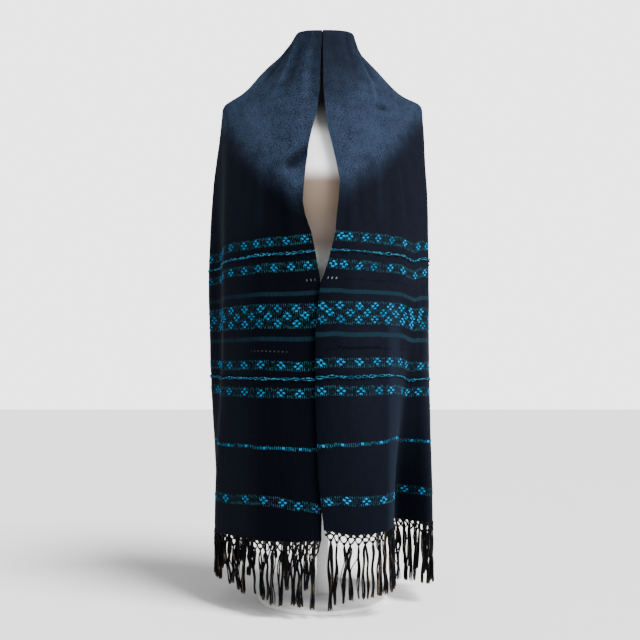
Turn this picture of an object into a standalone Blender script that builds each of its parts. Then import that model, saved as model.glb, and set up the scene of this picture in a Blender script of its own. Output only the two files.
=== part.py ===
"""A handwoven rebozo shawl draped over a limbless dress form on a stand.

Metres, +Z up. The front faces -Y, +X is the viewer's right, and the floor is z = 0 with the
origin at the middle of the stand's base. The shawl is one woven rectangle with a fringe at each
end. Its inner selvedges meet at the front of the neck, its ends hang in front and turn round
the sides, and its middle hangs down behind. Each stretch that shows is a wall of its own.
"""

import math
from collections import namedtuple

import bmesh
import bpy
import numpy as np

COLLECTION = "rebozo_on_dress_form"

# Cloth
WALL = 0.0018
SEAM = 0.0003
HEADING = 0.004            # height of the strip that carries the fringe
STRAND_PITCH = 0.0115
STRAND_ROOT = 0.0060       # width of a strand where it leaves the heading
STRAND_SEED = 7
CLOTH_WIDTH = 0.56         # selvedge to selvedge, measured along a hem

# Neck of the form and the cloth that is turned in over it
NECK_TOP = 1.1735
NECK_HALF_WIDTH = 0.0505
NECK_HALF_DEPTH = 0.0458
CAP_CLEARANCE = 0.0004
CAP_INNER = 0.45           # how far in the turned-over margin reaches, as a part of the rim

# Bends of the cloth, as the length that each takes on either side of its corner
RIM_BEND = 0.004
FOOT_BEND = 0.014
BREAK_BEND = 0.030
YOKE_SKIRT = 0.012         # how far the shoulder stretches reach below that bend

MID_HEIGHT = 0.55          # the level of the stations' mid columns
FALL_EASE = 2.5

# The rim and the foot of the cloth round the neck: half-widths to the left and right, then
# half-depths to the front and back, and how square each is
Ring = namedtuple("Ring", "height left right front back square")
RIM = Ring(NECK_TOP + CAP_CLEARANCE + WALL, 0.0560, 0.0665, 0.0495, 0.0495, 3.4)
FOOT = Ring(1.137, 0.0820, 0.0770, 0.0640, 0.0660, 2.2)

# The tops of the shoulders: where each lies, how far it reaches along the cloth in stations,
# how far the cloth sags between the neck and the shoulder's tip, and how tightly it bends there
Shoulder = namedtuple("Shoulder", "place half_width sag bend")
SHOULDERS = (Shoulder(4.4, 0.9, 0.0085, 0.010), Shoulder(11.75, 0.9, 0.0125, 0.010))

# Lines that run down the cloth, from the left inner selvedge round the back to the right one.
# turn is the angle round the neck in degrees, 0 at the front and growing to the left.
# Each line breaks where it leaves the shoulders or the bust, and then falls to the hem.
Station = namedtuple("Station", "name turn break_x break_y break_z mid_x mid_y hem_x hem_y hem_z")
STATIONS = (
    Station("left inner edge", 3, -0.034, -0.148, 0.858, 0.004, -0.156, -0.001, -0.156, 0.151),
    Station("left breast", 28, -0.076, -0.143, 0.872, -0.062, -0.163, -0.062, -0.166, 0.150),
    Station("left corner", 52, -0.130, -0.108, 0.925, -0.127, -0.148, -0.126, -0.142, 0.150),
    Station("left fold", 70, -0.178, -0.062, 0.985, -0.197, -0.087, -0.214, -0.062, 0.151),
    Station("left valley", 84, -0.2055, -0.016, 1.026, -0.209, -0.026, -0.219, -0.014, 0.152),
    Station("left side", 98, -0.2065, 0.028, 1.024, -0.243, 0.050, -0.222, 0.042, 0.153),
    Station("left blade", 128, -0.170, 0.088, 0.980, -0.192, 0.122, -0.186, 0.112, 0.154),
    Station("left flank", 154, -0.090, 0.118, 0.960, -0.106, 0.146, -0.108, 0.144, 0.155),
    Station("back", 180, 0.000, 0.124, 0.955, 0.000, 0.150, 0.000, 0.150, 0.155),
    Station("right flank", 206, 0.090, 0.118, 0.960, 0.104, 0.144, 0.106, 0.142, 0.158),
    Station("right blade", 232, 0.170, 0.088, 0.980, 0.186, 0.108, 0.184, 0.104, 0.160),
    Station("right side", 262, 0.2055, 0.026, 1.024, 0.221, 0.030, 0.2245, 0.018, 0.164),
    Station("right ripple", 278, 0.2045, -0.018, 1.026, 0.213, -0.044, 0.218, -0.052, 0.167),
    Station("right recess", 292, 0.174, -0.064, 0.985, 0.176, -0.088, 0.150, -0.014, 0.169),
    Station("right fold", 303, 0.146, -0.094, 0.948, 0.150, -0.126, 0.141, -0.112, 0.169),
    Station("right corner", 315, 0.114, -0.120, 0.912, 0.112, -0.148, 0.110, -0.146, 0.166),
    Station("right breast", 334, 0.070, -0.143, 0.872, 0.056, -0.164, 0.056, -0.158, 0.163),
    Station("right inner edge", 357, 0.034, -0.153, 0.858, -0.013, -0.168, 0.0045, -0.166, 0.173),
)
BACK = 8.0                 # the back station's number
LEFT_EDGE, RIGHT_EDGE = 0.0, len(STATIONS) - 1.0

# Where the inner selvedges lie across the front, from the neck down. They open over the bust,
# and below it the right one laps over the left.
Selvedge = namedtuple("Selvedge", "height left right")
SELVEDGES = (
    Selvedge(1.178, -0.0006, 0.0006),
    Selvedge(1.150, -0.0012, 0.0008),
    Selvedge(1.115, -0.0035, 0.0012),
    Selvedge(1.045, -0.0050, 0.0015),
    Selvedge(0.993, -0.0110, 0.0065),
    Selvedge(0.957, -0.0205, 0.0110),
    Selvedge(0.915, -0.0288, 0.0210),
    Selvedge(0.850, -0.0352, 0.0340),
    Selvedge(0.810, -0.0385, 0.0320),
    Selvedge(0.783, -0.0335, 0.0285),
    Selvedge(0.748, -0.0208, 0.0255),
    Selvedge(0.713, -0.0138, 0.0172),
    Selvedge(0.679, -0.0078, 0.0080),
    Selvedge(0.646, -0.0015, -0.0040),
    Selvedge(0.565, 0.0035, -0.0130),
    Selvedge(0.424, 0.0035, -0.0130),
    Selvedge(0.277, 0.0010, -0.0075),
    Selvedge(0.165, -0.0010, 0.0045),
)

# Soft folds that the stations are too few to give: where each starts and ends, its half-width
# in stations, and how far it stands out (or in, below zero)
Fold = namedtuple("Fold", "name place_top place_low top low half_width rise")
FOLD_GROWTH = 2.5          # a fold is full after this share of its length, as one over the share
FOLD_FADE = 3.0            # and fades over this share of it, unless it runs out at the hem
HEM_LEVEL = 0.20           # a fold whose low end is below this runs out at the hem
FOLDS = (
    Fold("left sleeve fold", 4.5, 4.35, 0.96, 0.30, 0.30, -0.010),
    Fold("left blade fold", 5.6, 5.7, 0.93, 0.10, 0.28, 0.014),
    Fold("left blade trough", 6.1, 6.15, 0.90, 0.10, 0.26, -0.012),
    Fold("back left fold", 7.35, 7.25, 0.98, 0.50, 0.30, 0.012),
    Fold("back trough", 7.95, 7.85, 0.94, 0.50, 0.30, -0.011),
    Fold("back right fold", 8.55, 8.7, 1.00, 0.50, 0.32, 0.013),
    Fold("right blade trough", 9.9, 9.85, 0.92, 0.10, 0.26, -0.012),
    Fold("right blade fold", 10.4, 10.35, 0.95, 0.10, 0.28, 0.013),
    Fold("right valley", 12.95, 12.95, 0.985, 0.46, 0.85, 0.009),
)

# The middle of the length hangs over the two ends behind, and its sides are folds
TONGUE_SIDES = (20 / 3, 28 / 3)
TONGUE_LOW = 0.630
TONGUE_LIFT = 0.075        # how much higher its lower edge is at its sides
TONGUE_CURVE = 2.5         # how late that lift comes towards the sides
TONGUE_PROUD = 0.007       # how far it stands off the ends that pass under it
PROUD_FROM, PROUD_TO = 0.25, 0.875     # where that comes, from its middle to its sides
TUCK = 0.006               # how far those ends are set in
TUCK_HEIGHTS = (0.930, 0.850, 0.780)
TUCK_FROM = 0.75           # the share of a side stretch, from its seam, where the tuck starts

# Seams between stretches
FRONT_SEAMS = (4.0, 13.0)

# Fringe: height of the tips at the start and the end of each stretch
Fringe = namedtuple("Fringe", "name tip_start tip_end")
FRINGES = {
    "front_left": Fringe("fringe_front_left", 0.021, 0.046),
    "side_left": Fringe("fringe_side_left", 0.046, 0.040),
    "front_right": Fringe("fringe_front_right", 0.044, 0.036),
    "side_right": Fringe("fringe_side_right", 0.040, 0.053),
}
# Rings of a strand on its way down: part of its length, half-width and half-depth, and how
# far it may sway with its neighbours, on its own along the hem, and in and out
Ringlet = namedtuple("Ringlet", "part half_width half_depth sway stray swing")
RINGLETS = (
    Ringlet(0.12, 0.0019, 0.0017, 0.0003, 0.0002, 0.0004),
    Ringlet(0.38, 0.0025, 0.0019, 0.0024, 0.0008, 0.0020),
    Ringlet(0.70, 0.0024, 0.0018, 0.0042, 0.0014, 0.0032),
    Ringlet(1.00, 0.0022, 0.0015, 0.0055, 0.0020, 0.0042),
)
SWAY_WAVES = 21.0          # radians per metre of hem

# Form: superellipse sections, from the neck's cap to the closed bottom
Section = namedtuple("Section", "height half_width front back square")
FORM = (
    Section(NECK_TOP, NECK_HALF_WIDTH, NECK_HALF_DEPTH, NECK_HALF_DEPTH, 3.2),
    Section(1.145, 0.0508, 0.0465, 0.0470, 3.0),
    Section(1.110, 0.0570, 0.0500, 0.0530, 2.5),
    Section(1.086, 0.0800, 0.0530, 0.0580, 2.1),
    Section(1.066, 0.1180, 0.0550, 0.0620, 2.0),
    Section(1.046, 0.1630, 0.0570, 0.0640, 2.0),
    Section(1.028, 0.1945, 0.0610, 0.0680, 2.1),
    Section(1.008, 0.2048, 0.0710, 0.0760, 2.2),
    Section(0.975, 0.2040, 0.0880, 0.0860, 2.3),
    Section(0.925, 0.1910, 0.1110, 0.0930, 2.3),
    Section(0.865, 0.1780, 0.1270, 0.0920, 2.2),
    Section(0.800, 0.1600, 0.1200, 0.0860, 2.2),
    Section(0.725, 0.1420, 0.0980, 0.0780, 2.2),
    Section(0.660, 0.1500, 0.0980, 0.0860, 2.2),
    Section(0.590, 0.1660, 0.1050, 0.0980, 2.2),
    Section(0.530, 0.1700, 0.1060, 0.1020, 2.2),
)
FORM_SIDES = 36
FORM_ROWS = 24
STAND_SIDES = 32
FORM_EDGE = 0.012          # rounding of the closed bottom

POLE_RADIUS = 0.0125
BASE_RADIUS = 0.135
BASE_HEIGHT = 0.010
BASE_EDGE = 0.003

# Sampling
COLUMNS_PER_STATION = 3
SEAM_COLUMN = 0.05         # in stations
FALL_ROWS = 10
YOKE_ROWS = 3

COLOURS = {
    "cloth": ((0.016, 0.022, 0.045), 0.85, 0.0),
    "fringe": ((0.010, 0.012, 0.022), 0.80, 0.0),
    "form": ((0.80, 0.78, 0.74), 0.60, 0.0),
    "metal": ((0.75, 0.75, 0.76), 0.35, 0.8),
}


def smooth(t):
    t = np.clip(t, 0.0, 1.0)
    return t * t * (3.0 - 2.0 * t)


def through(rows, place):
    """Catmull-Rom through the rows of a table, at a fractional row number."""
    values = np.array(rows, float)
    first = np.clip(np.floor(place).astype(int), 0, len(values) - 2)
    part = (place - first)[..., None]
    near = [values[np.clip(first + k, 0, len(values) - 1)] for k in (-1, 0, 1, 2)]
    near[0] = np.where((first == 0)[..., None], 2 * near[1] - near[2], near[0])
    last = (first == len(values) - 2)[..., None]
    near[3] = np.where(last, 2 * near[2] - near[1], near[3])
    p0, p1, p2, p3 = near
    return 0.5 * (2 * p1 + (p2 - p0) * part + (2 * p0 - 5 * p1 + 4 * p2 - p3) * part**2
                  + (3 * p1 - p0 - 3 * p2 + p3) * part**3)


def on_ring(ring, turn):
    """The point of a neck ring at an angle, 0 at the front and growing to the left."""
    angle = np.radians(turn)
    across, along = -np.sin(angle), -np.cos(angle)
    size = (np.abs(across) ** ring.square + np.abs(along) ** ring.square) ** (-1 / ring.square)
    across, along = across * size, along * size
    x = across * np.where(across < 0, ring.left, ring.right)
    y = along * np.where(along < 0, ring.front, ring.back)
    return np.stack([x, y, np.full_like(x, ring.height)], -1)


def selvedge_shift(place, row, side):
    """How far an inner selvedge moves the cloth near it, so that it lies where SELVEDGES says."""
    edge, inward = (LEFT_EDGE, 1.0) if side == "left" else (RIGHT_EDGE, -1.0)
    own = profile(np.full_like(place, edge), row)
    heights = [line.height for line in SELVEDGES][::-1]
    wanted = np.interp(own[..., 2], heights, [getattr(line, side) for line in SELVEDGES][::-1])
    return (wanted - own[..., 0]) * smooth(1.0 - (place - edge) * inward)


def spine(place, height):
    """The falling line of a station at a height, as x and y. Above the break it holds still."""
    row = through([station[1:] for station in STATIONS], place)
    turn, bx, by, bz, mx, my, hx, hy, hz = np.moveaxis(row, -1, 0)
    upper = 1.0 - (1.0 - np.clip((bz - height) / (bz - MID_HEIGHT), 0.0, 1.0)) ** FALL_EASE
    lower = smooth((MID_HEIGHT - height) / (MID_HEIGHT - hz))
    x = bx + (mx - bx) * upper + (hx - mx) * lower
    y = by + (my - by) * upper + (hy - my) * lower
    return np.stack([x, y], -1)


def at_shoulder(place, measure):
    """A shoulder's measure at its own place, fading along the cloth."""
    return sum(getattr(shoulder, measure)
               * np.exp(-(((place - shoulder.place) / shoulder.half_width) ** 2))
               for shoulder in SHOULDERS)


def corner(point, before, after, way):
    """Rounds a corner: way runs from -1 to 1 across it."""
    part = np.clip((way + 1.0) / 2.0, 0.0, 1.0)[..., None]
    return before * (1 - part) ** 2 + 2 * point * part * (1 - part) + after * part**2


def profile(place, row):
    """A point of the cloth's outer face.

    row 0 to 1 is the margin turned in over the neck, 1 to 2 the neck, 2 to 3 the shoulder,
    and beyond 3 it is 3 plus the depth below the break in metres.
    """
    data = through([station[1:] for station in STATIONS], place)
    turn, bz = data[..., 0], data[..., 3]
    rim, foot = on_ring(RIM, turn), on_ring(FOOT, turn)
    inner = rim * np.array([CAP_INNER, CAP_INNER, 1.0])
    brk = np.concatenate([spine(place, bz), bz[..., None]], -1)

    def fall(depth):
        height = bz - depth
        return np.concatenate([spine(place, height), height[..., None]], -1)

    lengths = [np.linalg.norm(rim - inner, axis=-1), np.linalg.norm(foot - rim, axis=-1),
               np.linalg.norm(brk - foot, axis=-1)]
    sag = at_shoulder(place, "sag")
    share = np.exp(-np.min([((place - shoulder.place) / shoulder.half_width) ** 2
                            for shoulder in SHOULDERS], axis=0))
    bends = [RIM_BEND, FOOT_BEND, BREAK_BEND + (SHOULDERS[0].bend - BREAK_BEND) * share]

    def path(row):
        part = np.clip(row - 2, 0, 1)
        slope = foot + (brk - foot) * part[..., None]
        slope[..., 2] -= sag * np.sin(math.pi * part ** 1.5) ** 2
        legs = [inner + (rim - inner) * np.clip(row, 0, 1)[..., None],
                rim + (foot - rim) * np.clip(row - 1, 0, 1)[..., None],
                slope,
                fall(np.clip(row - 3, 0, None))]
        which = np.clip(np.floor(row).astype(int), 0, 3)
        return np.choose(which[..., None], legs)

    point = path(row)
    scales = [lengths[0], lengths[1], lengths[2], np.ones_like(lengths[0])]
    for number, bend, tip in zip((1, 2, 3), bends, (rim, foot, brk)):
        before, after = bend / scales[number - 1], bend / scales[number]
        step = np.where(row < number, (row - number) / before, (row - number) / after)
        rounded = corner(tip, path(number - before), path(number + after), step)
        point = np.where((np.abs(step) < 1.0)[..., None], rounded, point)
    return point


def rise(place, height):
    """The soft folds' rise above the plain surface."""
    total = np.zeros_like(place)
    for fold in FOLDS:
        run = (fold.top - height) / (fold.top - fold.low)
        middle = fold.place_top + (fold.place_low - fold.place_top) * np.clip(run, 0, 1)
        fade = smooth((1.0 - run) * FOLD_FADE) if fold.low > HEM_LEVEL else 1.0
        grown = smooth(run * FOLD_GROWTH) * fade
        total += fold.rise * grown * np.exp(-(((place - middle) / fold.half_width) ** 2))
    return total


def outward(place, row):
    """The outward direction of the plain surface, level enough to move folds along."""
    step = 0.02
    a = profile(np.clip(place - step, LEFT_EDGE, RIGHT_EDGE), row)
    b = profile(np.clip(place + step, LEFT_EDGE, RIGHT_EDGE), row)
    along = b - a
    normal = np.stack([-along[..., 1], along[..., 0], np.zeros_like(place)], -1)
    size = np.linalg.norm(normal, axis=-1, keepdims=True)
    return normal / np.maximum(size, 1e-9)


def cloth(place, row, proud=0.0):
    """The cloth's outer face with its folds and selvedges. proud moves it outward."""
    place, row = np.broadcast_arrays(np.asarray(place, float), np.asarray(row, float))
    point = profile(place, row)
    height = point[..., 2]
    point = point + outward(place, row) * (rise(place, height) * (row > 2) + proud)[..., None]
    shift = selvedge_shift(place, row, "left") + selvedge_shift(place, row, "right")
    return point + np.stack([shift, 0 * shift, 0 * shift], -1)


def drop(place, low):
    """Depth below the break at which a station reaches a height."""
    return through([station[1:] for station in STATIONS], place)[..., 3] - low


def hem_height(place):
    return through([station[1:] for station in STATIONS], place)[..., 8]


def columns(start, end):
    """The columns between two places, with a close pair beside each seam so that its walls match."""
    plain = np.arange(round(RIGHT_EDGE * COLUMNS_PER_STATION) + 1) / COLUMNS_PER_STATION
    beside = [seam + way * SEAM_COLUMN for seam in (*FRONT_SEAMS, *TONGUE_SIDES, BACK)
              for way in (-1, 1)]
    every = np.sort(np.concatenate([plain, beside]))
    low, high = min(start, end), max(start, end)
    chosen = every[(every > low - 1e-6) & (every < high + 1e-6)]
    return chosen if start < end else chosen[::-1]


def pull_apart(points, first, last):
    """Moves the first and last columns of a grid inward by half a seam."""
    points = points.copy()
    for edge, beside, wanted in ((0, 1, first), (-1, -2, last)):
        if wanted:
            way = points[:, beside] - points[:, edge]
            way /= np.linalg.norm(way, axis=-1, keepdims=True)
            points[:, edge] += way * SEAM / 2
    return points


def yoke_grid(start, end, seams):
    place = columns(start, end)
    data = through([station[1:] for station in STATIONS], place)
    rim, foot = on_ring(RIM, data[:, 0]), on_ring(FOOT, data[:, 0])
    brk = data[:, 1:4]
    cap = RIM_BEND / np.linalg.norm(rim * (1 - CAP_INNER) * [1, 1, 0], axis=-1)
    neck = np.linalg.norm(foot - rim, axis=-1)
    slope = np.linalg.norm(brk - foot, axis=-1)
    zero = np.zeros_like(place)
    rows = [zero, zero + 1 - cap, zero + 1, 1 + RIM_BEND / neck, 2 - FOOT_BEND / neck, zero + 2,
            2 + FOOT_BEND / slope]
    first, last = rows[-1], 3 - BREAK_BEND / slope
    rows += [first + (last - first) * k / YOKE_ROWS for k in range(1, YOKE_ROWS + 1)]
    rows += [zero + 3, zero + 3 + BREAK_BEND, zero + 3 + BREAK_BEND + YOKE_SKIRT]
    return pull_apart(cloth(np.tile(place, (len(rows), 1)), np.stack(rows)), *seams)


def fall_grid(place_of, low_of, proud_of, seams, steps=FALL_ROWS):
    """A hanging stretch. place_of gives its columns at a height, low_of its lower edge."""
    rows = []
    for step in range(-1, steps + 1):
        part = max(step, 0) / steps
        place = place_of(None)
        for _ in range(3):
            top = drop(place, 0) - BREAK_BEND - YOKE_SKIRT - SEAM
            height = top - (YOKE_SKIRT if step == 0 else 0) + (low_of(place) - top) * part
            place = place_of(height)
        rows.append(cloth(place, 3 + drop(place, height), proud_of(place, height)))
    return pull_apart(np.stack(rows), *seams)


def new_object(name, mesh, colour):
    obj = bpy.data.objects.new(name, mesh)
    bpy.data.collections[COLLECTION].objects.link(obj)
    base, roughness, metallic = COLOURS[colour]
    material = bpy.data.materials.new(name)
    material.use_nodes = True
    shader = material.node_tree.nodes["Principled BSDF"]
    shader.inputs["Base Color"].default_value = (*base, 1.0)
    shader.inputs["Roughness"].default_value = roughness
    shader.inputs["Metallic"].default_value = metallic
    mesh.materials.append(material)
    return obj


def wall(name, points):
    """A wall of the cloth's thickness inside a grid of outer points, top row first."""
    rows, cols = points.shape[:2]
    shape = bmesh.new()
    bmesh.ops.create_grid(shape, x_segments=cols - 1, y_segments=rows - 1, size=0.5)
    shape.verts.ensure_lookup_table()
    ordered = sorted(shape.verts, key=lambda vert: (-round(vert.co.y, 4), round(vert.co.x, 4)))
    for vert, point in zip(ordered, points.reshape(-1, 3)):
        vert.co = point
    bmesh.ops.reverse_faces(shape, faces=shape.faces)
    mesh = bpy.data.meshes.new(name)
    shape.to_mesh(mesh)
    shape.free()
    mesh.shade_smooth()
    obj = new_object(name, mesh, "cloth")
    solid = obj.modifiers.new("Thickness", "SOLIDIFY")
    solid.thickness = WALL
    solid.offset = -1.0
    return obj


def make_cloth():
    """Makes the cloth's walls. Returns the lower edge of each stretch that carries a fringe."""
    left, right = TONGUE_SIDES
    edges = {}
    wall("shoulder_left", yoke_grid(LEFT_EDGE, BACK, (False, True)))
    wall("shoulder_right", yoke_grid(BACK, RIGHT_EDGE, (True, False)))

    def between(start, end):
        fixed = columns(start, end)
        return lambda height: fixed

    def plain(place, height):
        return np.zeros_like(place)

    for name, start, end, seams in (("front_left", LEFT_EDGE, FRONT_SEAMS[0], (False, True)),
                                    ("front_right", FRONT_SEAMS[1], RIGHT_EDGE, (True, False))):
        points = fall_grid(between(start, end), hem_height, plain, seams)
        wall(name, points)
        edges[name] = points[-1]

    def tuck(height):
        return smooth((TUCK_HEIGHTS[1] - height) / (TUCK_HEIGHTS[1] - TUCK_HEIGHTS[2]))

    def side(seam, fold, selvedge):
        fixed = columns(seam, fold)

        def place_of(height):
            if height is None:
                return fixed
            return fixed + (selvedge - fold) * tuck(height) * ((fixed - seam) / (fold - seam)) ** 2

        def set_in(place, height):
            share = np.abs(place - seam) / abs(fold - seam)
            past = smooth((share - TUCK_FROM) / (1 - TUCK_FROM))
            return -TUCK * past * tuck(height)

        return place_of, set_in

    def tongue_low(place):
        return TONGUE_LOW + TONGUE_LIFT * (np.abs(place - BACK) / (BACK - left)) ** TONGUE_CURVE

    def tongue_proud(place, height):
        share = np.abs(place - BACK) / (BACK - left)
        near = smooth((share - PROUD_FROM) / (PROUD_TO - PROUD_FROM))
        down = smooth((TUCK_HEIGHTS[0] - height) / (TUCK_HEIGHTS[0] - TUCK_HEIGHTS[1]))
        return TONGUE_PROUD * near * down

    for name, seam, fold, selvedge, seams in (
        ("side_left", FRONT_SEAMS[0], left, outer_selvedge(LEFT_EDGE, 1), (True, True)),
        ("side_right", FRONT_SEAMS[1], right, outer_selvedge(RIGHT_EDGE, -1), (True, True)),
    ):
        place_of, set_in = side(seam, fold, selvedge)
        points = fall_grid(place_of, hem_height, set_in, seams)
        points = points if seam < selvedge else points[:, ::-1]
        wall(name, points)
        edges[name] = points[-1]
    wall("back", fall_grid(between(left, right), tongue_low, tongue_proud, (True, True), 6))
    return edges


def hem_line(start, way, count=400):
    """Places along a hem from an inner selvedge outward, and their distance from it."""
    place = start + way * np.linspace(0, 8, count)
    point = cloth(place, 3 + drop(place, hem_height(place)))
    steps = np.linalg.norm(np.diff(point, axis=0), axis=-1)
    return place, np.concatenate([[0], np.cumsum(steps)])


def outer_selvedge(start, way):
    place, distance = hem_line(start, way)
    return float(np.interp(CLOTH_WIDTH, distance, place))


def along_line(line, distance):
    """Points at distances along a line of points, and the level outward direction there."""
    steps = np.linalg.norm(np.diff(line, axis=0), axis=-1)
    total = np.concatenate([[0], np.cumsum(steps)])
    point = np.stack([np.interp(distance, total, line[:, k]) for k in range(3)], -1)
    reach = STRAND_PITCH / 4
    before, after = np.maximum(distance - reach, 0), np.minimum(distance + reach, total[-1])
    way = np.stack([np.interp(after, total, line[:, k]) - np.interp(before, total, line[:, k])
                    for k in range(2)] + [np.zeros_like(distance)], -1)
    way /= np.linalg.norm(way, axis=-1, keepdims=True)
    return point, way, np.stack([-way[:, 1], way[:, 0], way[:, 2]], -1)


def make_fringe(fringe, line, rng):
    """A narrow heading just below a hem, whose lower edge runs out into free strands."""
    length = np.linalg.norm(np.diff(line, axis=0), axis=-1).sum()
    count = round(length / STRAND_PITCH)
    middles = (np.arange(count) + 0.5) * length / count
    bounds = np.stack([middles - STRAND_ROOT / 2, middles + STRAND_ROOT / 2], -1).ravel()
    bounds = np.concatenate([[0.0], bounds, [length]])
    outer, _, out = along_line(line, bounds)
    inner = outer - out * WALL
    down = np.array([0.0, 0.0, 1.0])
    top, low = SEAM, SEAM + HEADING
    shape = bmesh.new()
    corners = [[shape.verts.new(face[j] - down * depth) for face, depth in
                ((outer, top), (outer, low), (inner, low), (inner, top))]
               for j in range(len(bounds))]
    for j, (here, there) in enumerate(zip(corners, corners[1:])):
        sides = [0, 2, 3] if j % 2 else [0, 1, 2, 3]
        for k in sides:
            following = (k + 1) % 4
            shape.faces.new((here[k], here[following], there[following], there[k]))
    shape.faces.new(corners[0][::-1])
    shape.faces.new(corners[-1])

    centre, way, out = along_line(line, middles)
    centre = centre - out * WALL / 2
    centre[:, 2] -= low
    tips = np.interp(middles, [0, length], [fringe.tip_start, fringe.tip_end])
    tips = tips + rng.uniform(-0.004, 0.004, count)
    stray, swing = rng.uniform(-1, 1, (2, count, len(RINGLETS)))
    for i in range(count):
        here, there = corners[2 * i + 1], corners[2 * i + 2]
        ring = [here[1], there[1], there[2], here[2]]
        drop_length = centre[i, 2] - tips[i]
        wave = math.sin(SWAY_WAVES * middles[i])
        for k, ringlet in enumerate(RINGLETS):
            middle = (centre[i] - down * drop_length * ringlet.part
                      + way[i] * (ringlet.sway * wave + ringlet.stray * stray[i, k])
                      + out[i] * ringlet.swing * swing[i, k])
            wide, deep = way[i] * ringlet.half_width, out[i] * ringlet.half_depth
            after = [shape.verts.new(middle + wide * w + deep * d)
                     for w, d in ((-1, 1), (1, 1), (1, -1), (-1, -1))]
            for n in range(4):
                shape.faces.new((ring[n], after[n], after[(n + 1) % 4], ring[(n + 1) % 4]))
            ring = after
        shape.faces.new(ring)
    finish(shape, fringe.name, "fringe")


def finish(shape, name, colour):
    bmesh.ops.recalc_face_normals(shape, faces=shape.faces)
    mesh = bpy.data.meshes.new(name)
    shape.to_mesh(mesh)
    shape.free()
    mesh.set_sharp_from_angle(angle=math.radians(40))
    return new_object(name, mesh, colour)


def make_form():
    """The limbless form: one smooth loft with a flat cap on its neck and a closed bottom."""
    turn = np.linspace(0, 2 * math.pi, FORM_SIDES, endpoint=False)
    rows = through([section[:] for section in FORM], np.linspace(0, len(FORM) - 1, FORM_ROWS))
    low = rows[-1]
    edge = [low - [FORM_EDGE * math.sin(bend), inset, inset, inset, 0]
            for bend in np.radians((30, 60, 90))
            for inset in [FORM_EDGE * (1 - math.cos(bend))]]
    shape = bmesh.new()
    rings = []
    for height, half_width, front, back, square in [*rows, *edge]:
        across, along = np.sin(turn), -np.cos(turn)
        x = half_width * np.sign(across) * np.abs(across) ** (2 / square)
        y = np.where(along < 0, front, back) * np.sign(along) * np.abs(along) ** (2 / square)
        rings.append([shape.verts.new((*point, height)) for point in zip(x, y)])
    for upper, lower in zip(rings, rings[1:]):
        for k in range(FORM_SIDES):
            after = (k + 1) % FORM_SIDES
            shape.faces.new((upper[k], upper[after], lower[after], lower[k]))
    shape.faces.new(rings[0])
    shape.faces.new(rings[-1])
    finish(shape, "form_body", "form")
    return edge[-1][0]


def make_stand(form_bottom):
    for name, radius, low, high, edge in (
            ("stand_base", BASE_RADIUS, 0.0, BASE_HEIGHT, BASE_EDGE),
            ("stand_pole", POLE_RADIUS, BASE_HEIGHT + SEAM, form_bottom - SEAM, 0.0)):
        shape = bmesh.new()
        bmesh.ops.create_cone(shape, cap_ends=True, segments=STAND_SIDES, radius1=radius,
                              radius2=radius, depth=high - low)
        bmesh.ops.translate(shape, verts=shape.verts, vec=(0, 0, (high + low) / 2))
        obj = finish(shape, name, "metal")
        if edge:
            bevel = obj.modifiers.new("Edge", "BEVEL")
            bevel.width = edge
            bevel.segments = 2
            bevel.limit_method = "ANGLE"


def clear_scene():
    for obj in list(bpy.data.objects):
        bpy.data.objects.remove(obj, do_unlink=True)
    bpy.context.scene.collection.children.link(bpy.data.collections.new(COLLECTION))


def main():
    clear_scene()
    rng = np.random.default_rng(STRAND_SEED)
    for name, line in make_cloth().items():
        make_fringe(FRINGES[name], line, rng)
    make_stand(make_form())


main()
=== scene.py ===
import math
from collections import namedtuple
from functools import reduce

import bpy
import numpy as np
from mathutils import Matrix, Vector


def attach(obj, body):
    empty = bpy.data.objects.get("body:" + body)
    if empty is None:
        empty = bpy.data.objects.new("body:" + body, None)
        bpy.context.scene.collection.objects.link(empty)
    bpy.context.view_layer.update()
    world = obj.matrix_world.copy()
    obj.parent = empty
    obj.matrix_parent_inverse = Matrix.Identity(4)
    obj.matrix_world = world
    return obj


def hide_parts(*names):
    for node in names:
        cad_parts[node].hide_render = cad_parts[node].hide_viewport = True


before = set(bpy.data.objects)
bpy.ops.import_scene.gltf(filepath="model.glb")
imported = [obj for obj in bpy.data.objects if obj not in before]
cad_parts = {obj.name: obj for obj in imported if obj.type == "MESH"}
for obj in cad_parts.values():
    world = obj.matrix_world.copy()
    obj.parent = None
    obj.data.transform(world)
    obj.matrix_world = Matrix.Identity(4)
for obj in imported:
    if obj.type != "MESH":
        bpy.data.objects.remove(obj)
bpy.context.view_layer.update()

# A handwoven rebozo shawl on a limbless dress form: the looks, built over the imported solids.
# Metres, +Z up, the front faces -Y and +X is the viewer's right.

TAU = 2 * math.pi
MM = 0.001
DOWN = np.array((0.0, 0.0, -1.0))
LEVEL = (1, 1, 0)          # leaves a direction's level part

# ---------------- the shawl's shape, as in the CAD

WALL = 0.0018
CLOTH_WIDTH = 0.56
NECK_TOP = 1.1735
NECK_HALF_WIDTH = 0.0505
NECK_HALF_DEPTH = 0.0458
CAP_CLEARANCE = 0.0004
CAP_INNER = 0.45
RIM_BEND = 0.004
FOOT_BEND = 0.014
BREAK_BEND = 0.03
YOKE_SKIRT = 0.012
MID_HEIGHT = 0.55
FALL_EASE = 2.5
SMALL_STEP = 0.02          # in stations

Ring = namedtuple("Ring", "height left right front back square")
RIM = Ring(NECK_TOP + CAP_CLEARANCE + WALL, 0.056, 0.0665, 0.0495, 0.0495, 3.4)
FOOT = Ring(1.137, 0.082, 0.077, 0.064, 0.066, 2.2)

# The tops of the shoulders: place and reach along the cloth, sag and tightness of the bend
Shoulder = namedtuple("Shoulder", "place half_width sag bend")
SHOULDERS = (Shoulder(4.4, 0.9, 0.0085, 0.01), Shoulder(11.75, 0.9, 0.0125, 0.01))

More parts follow.
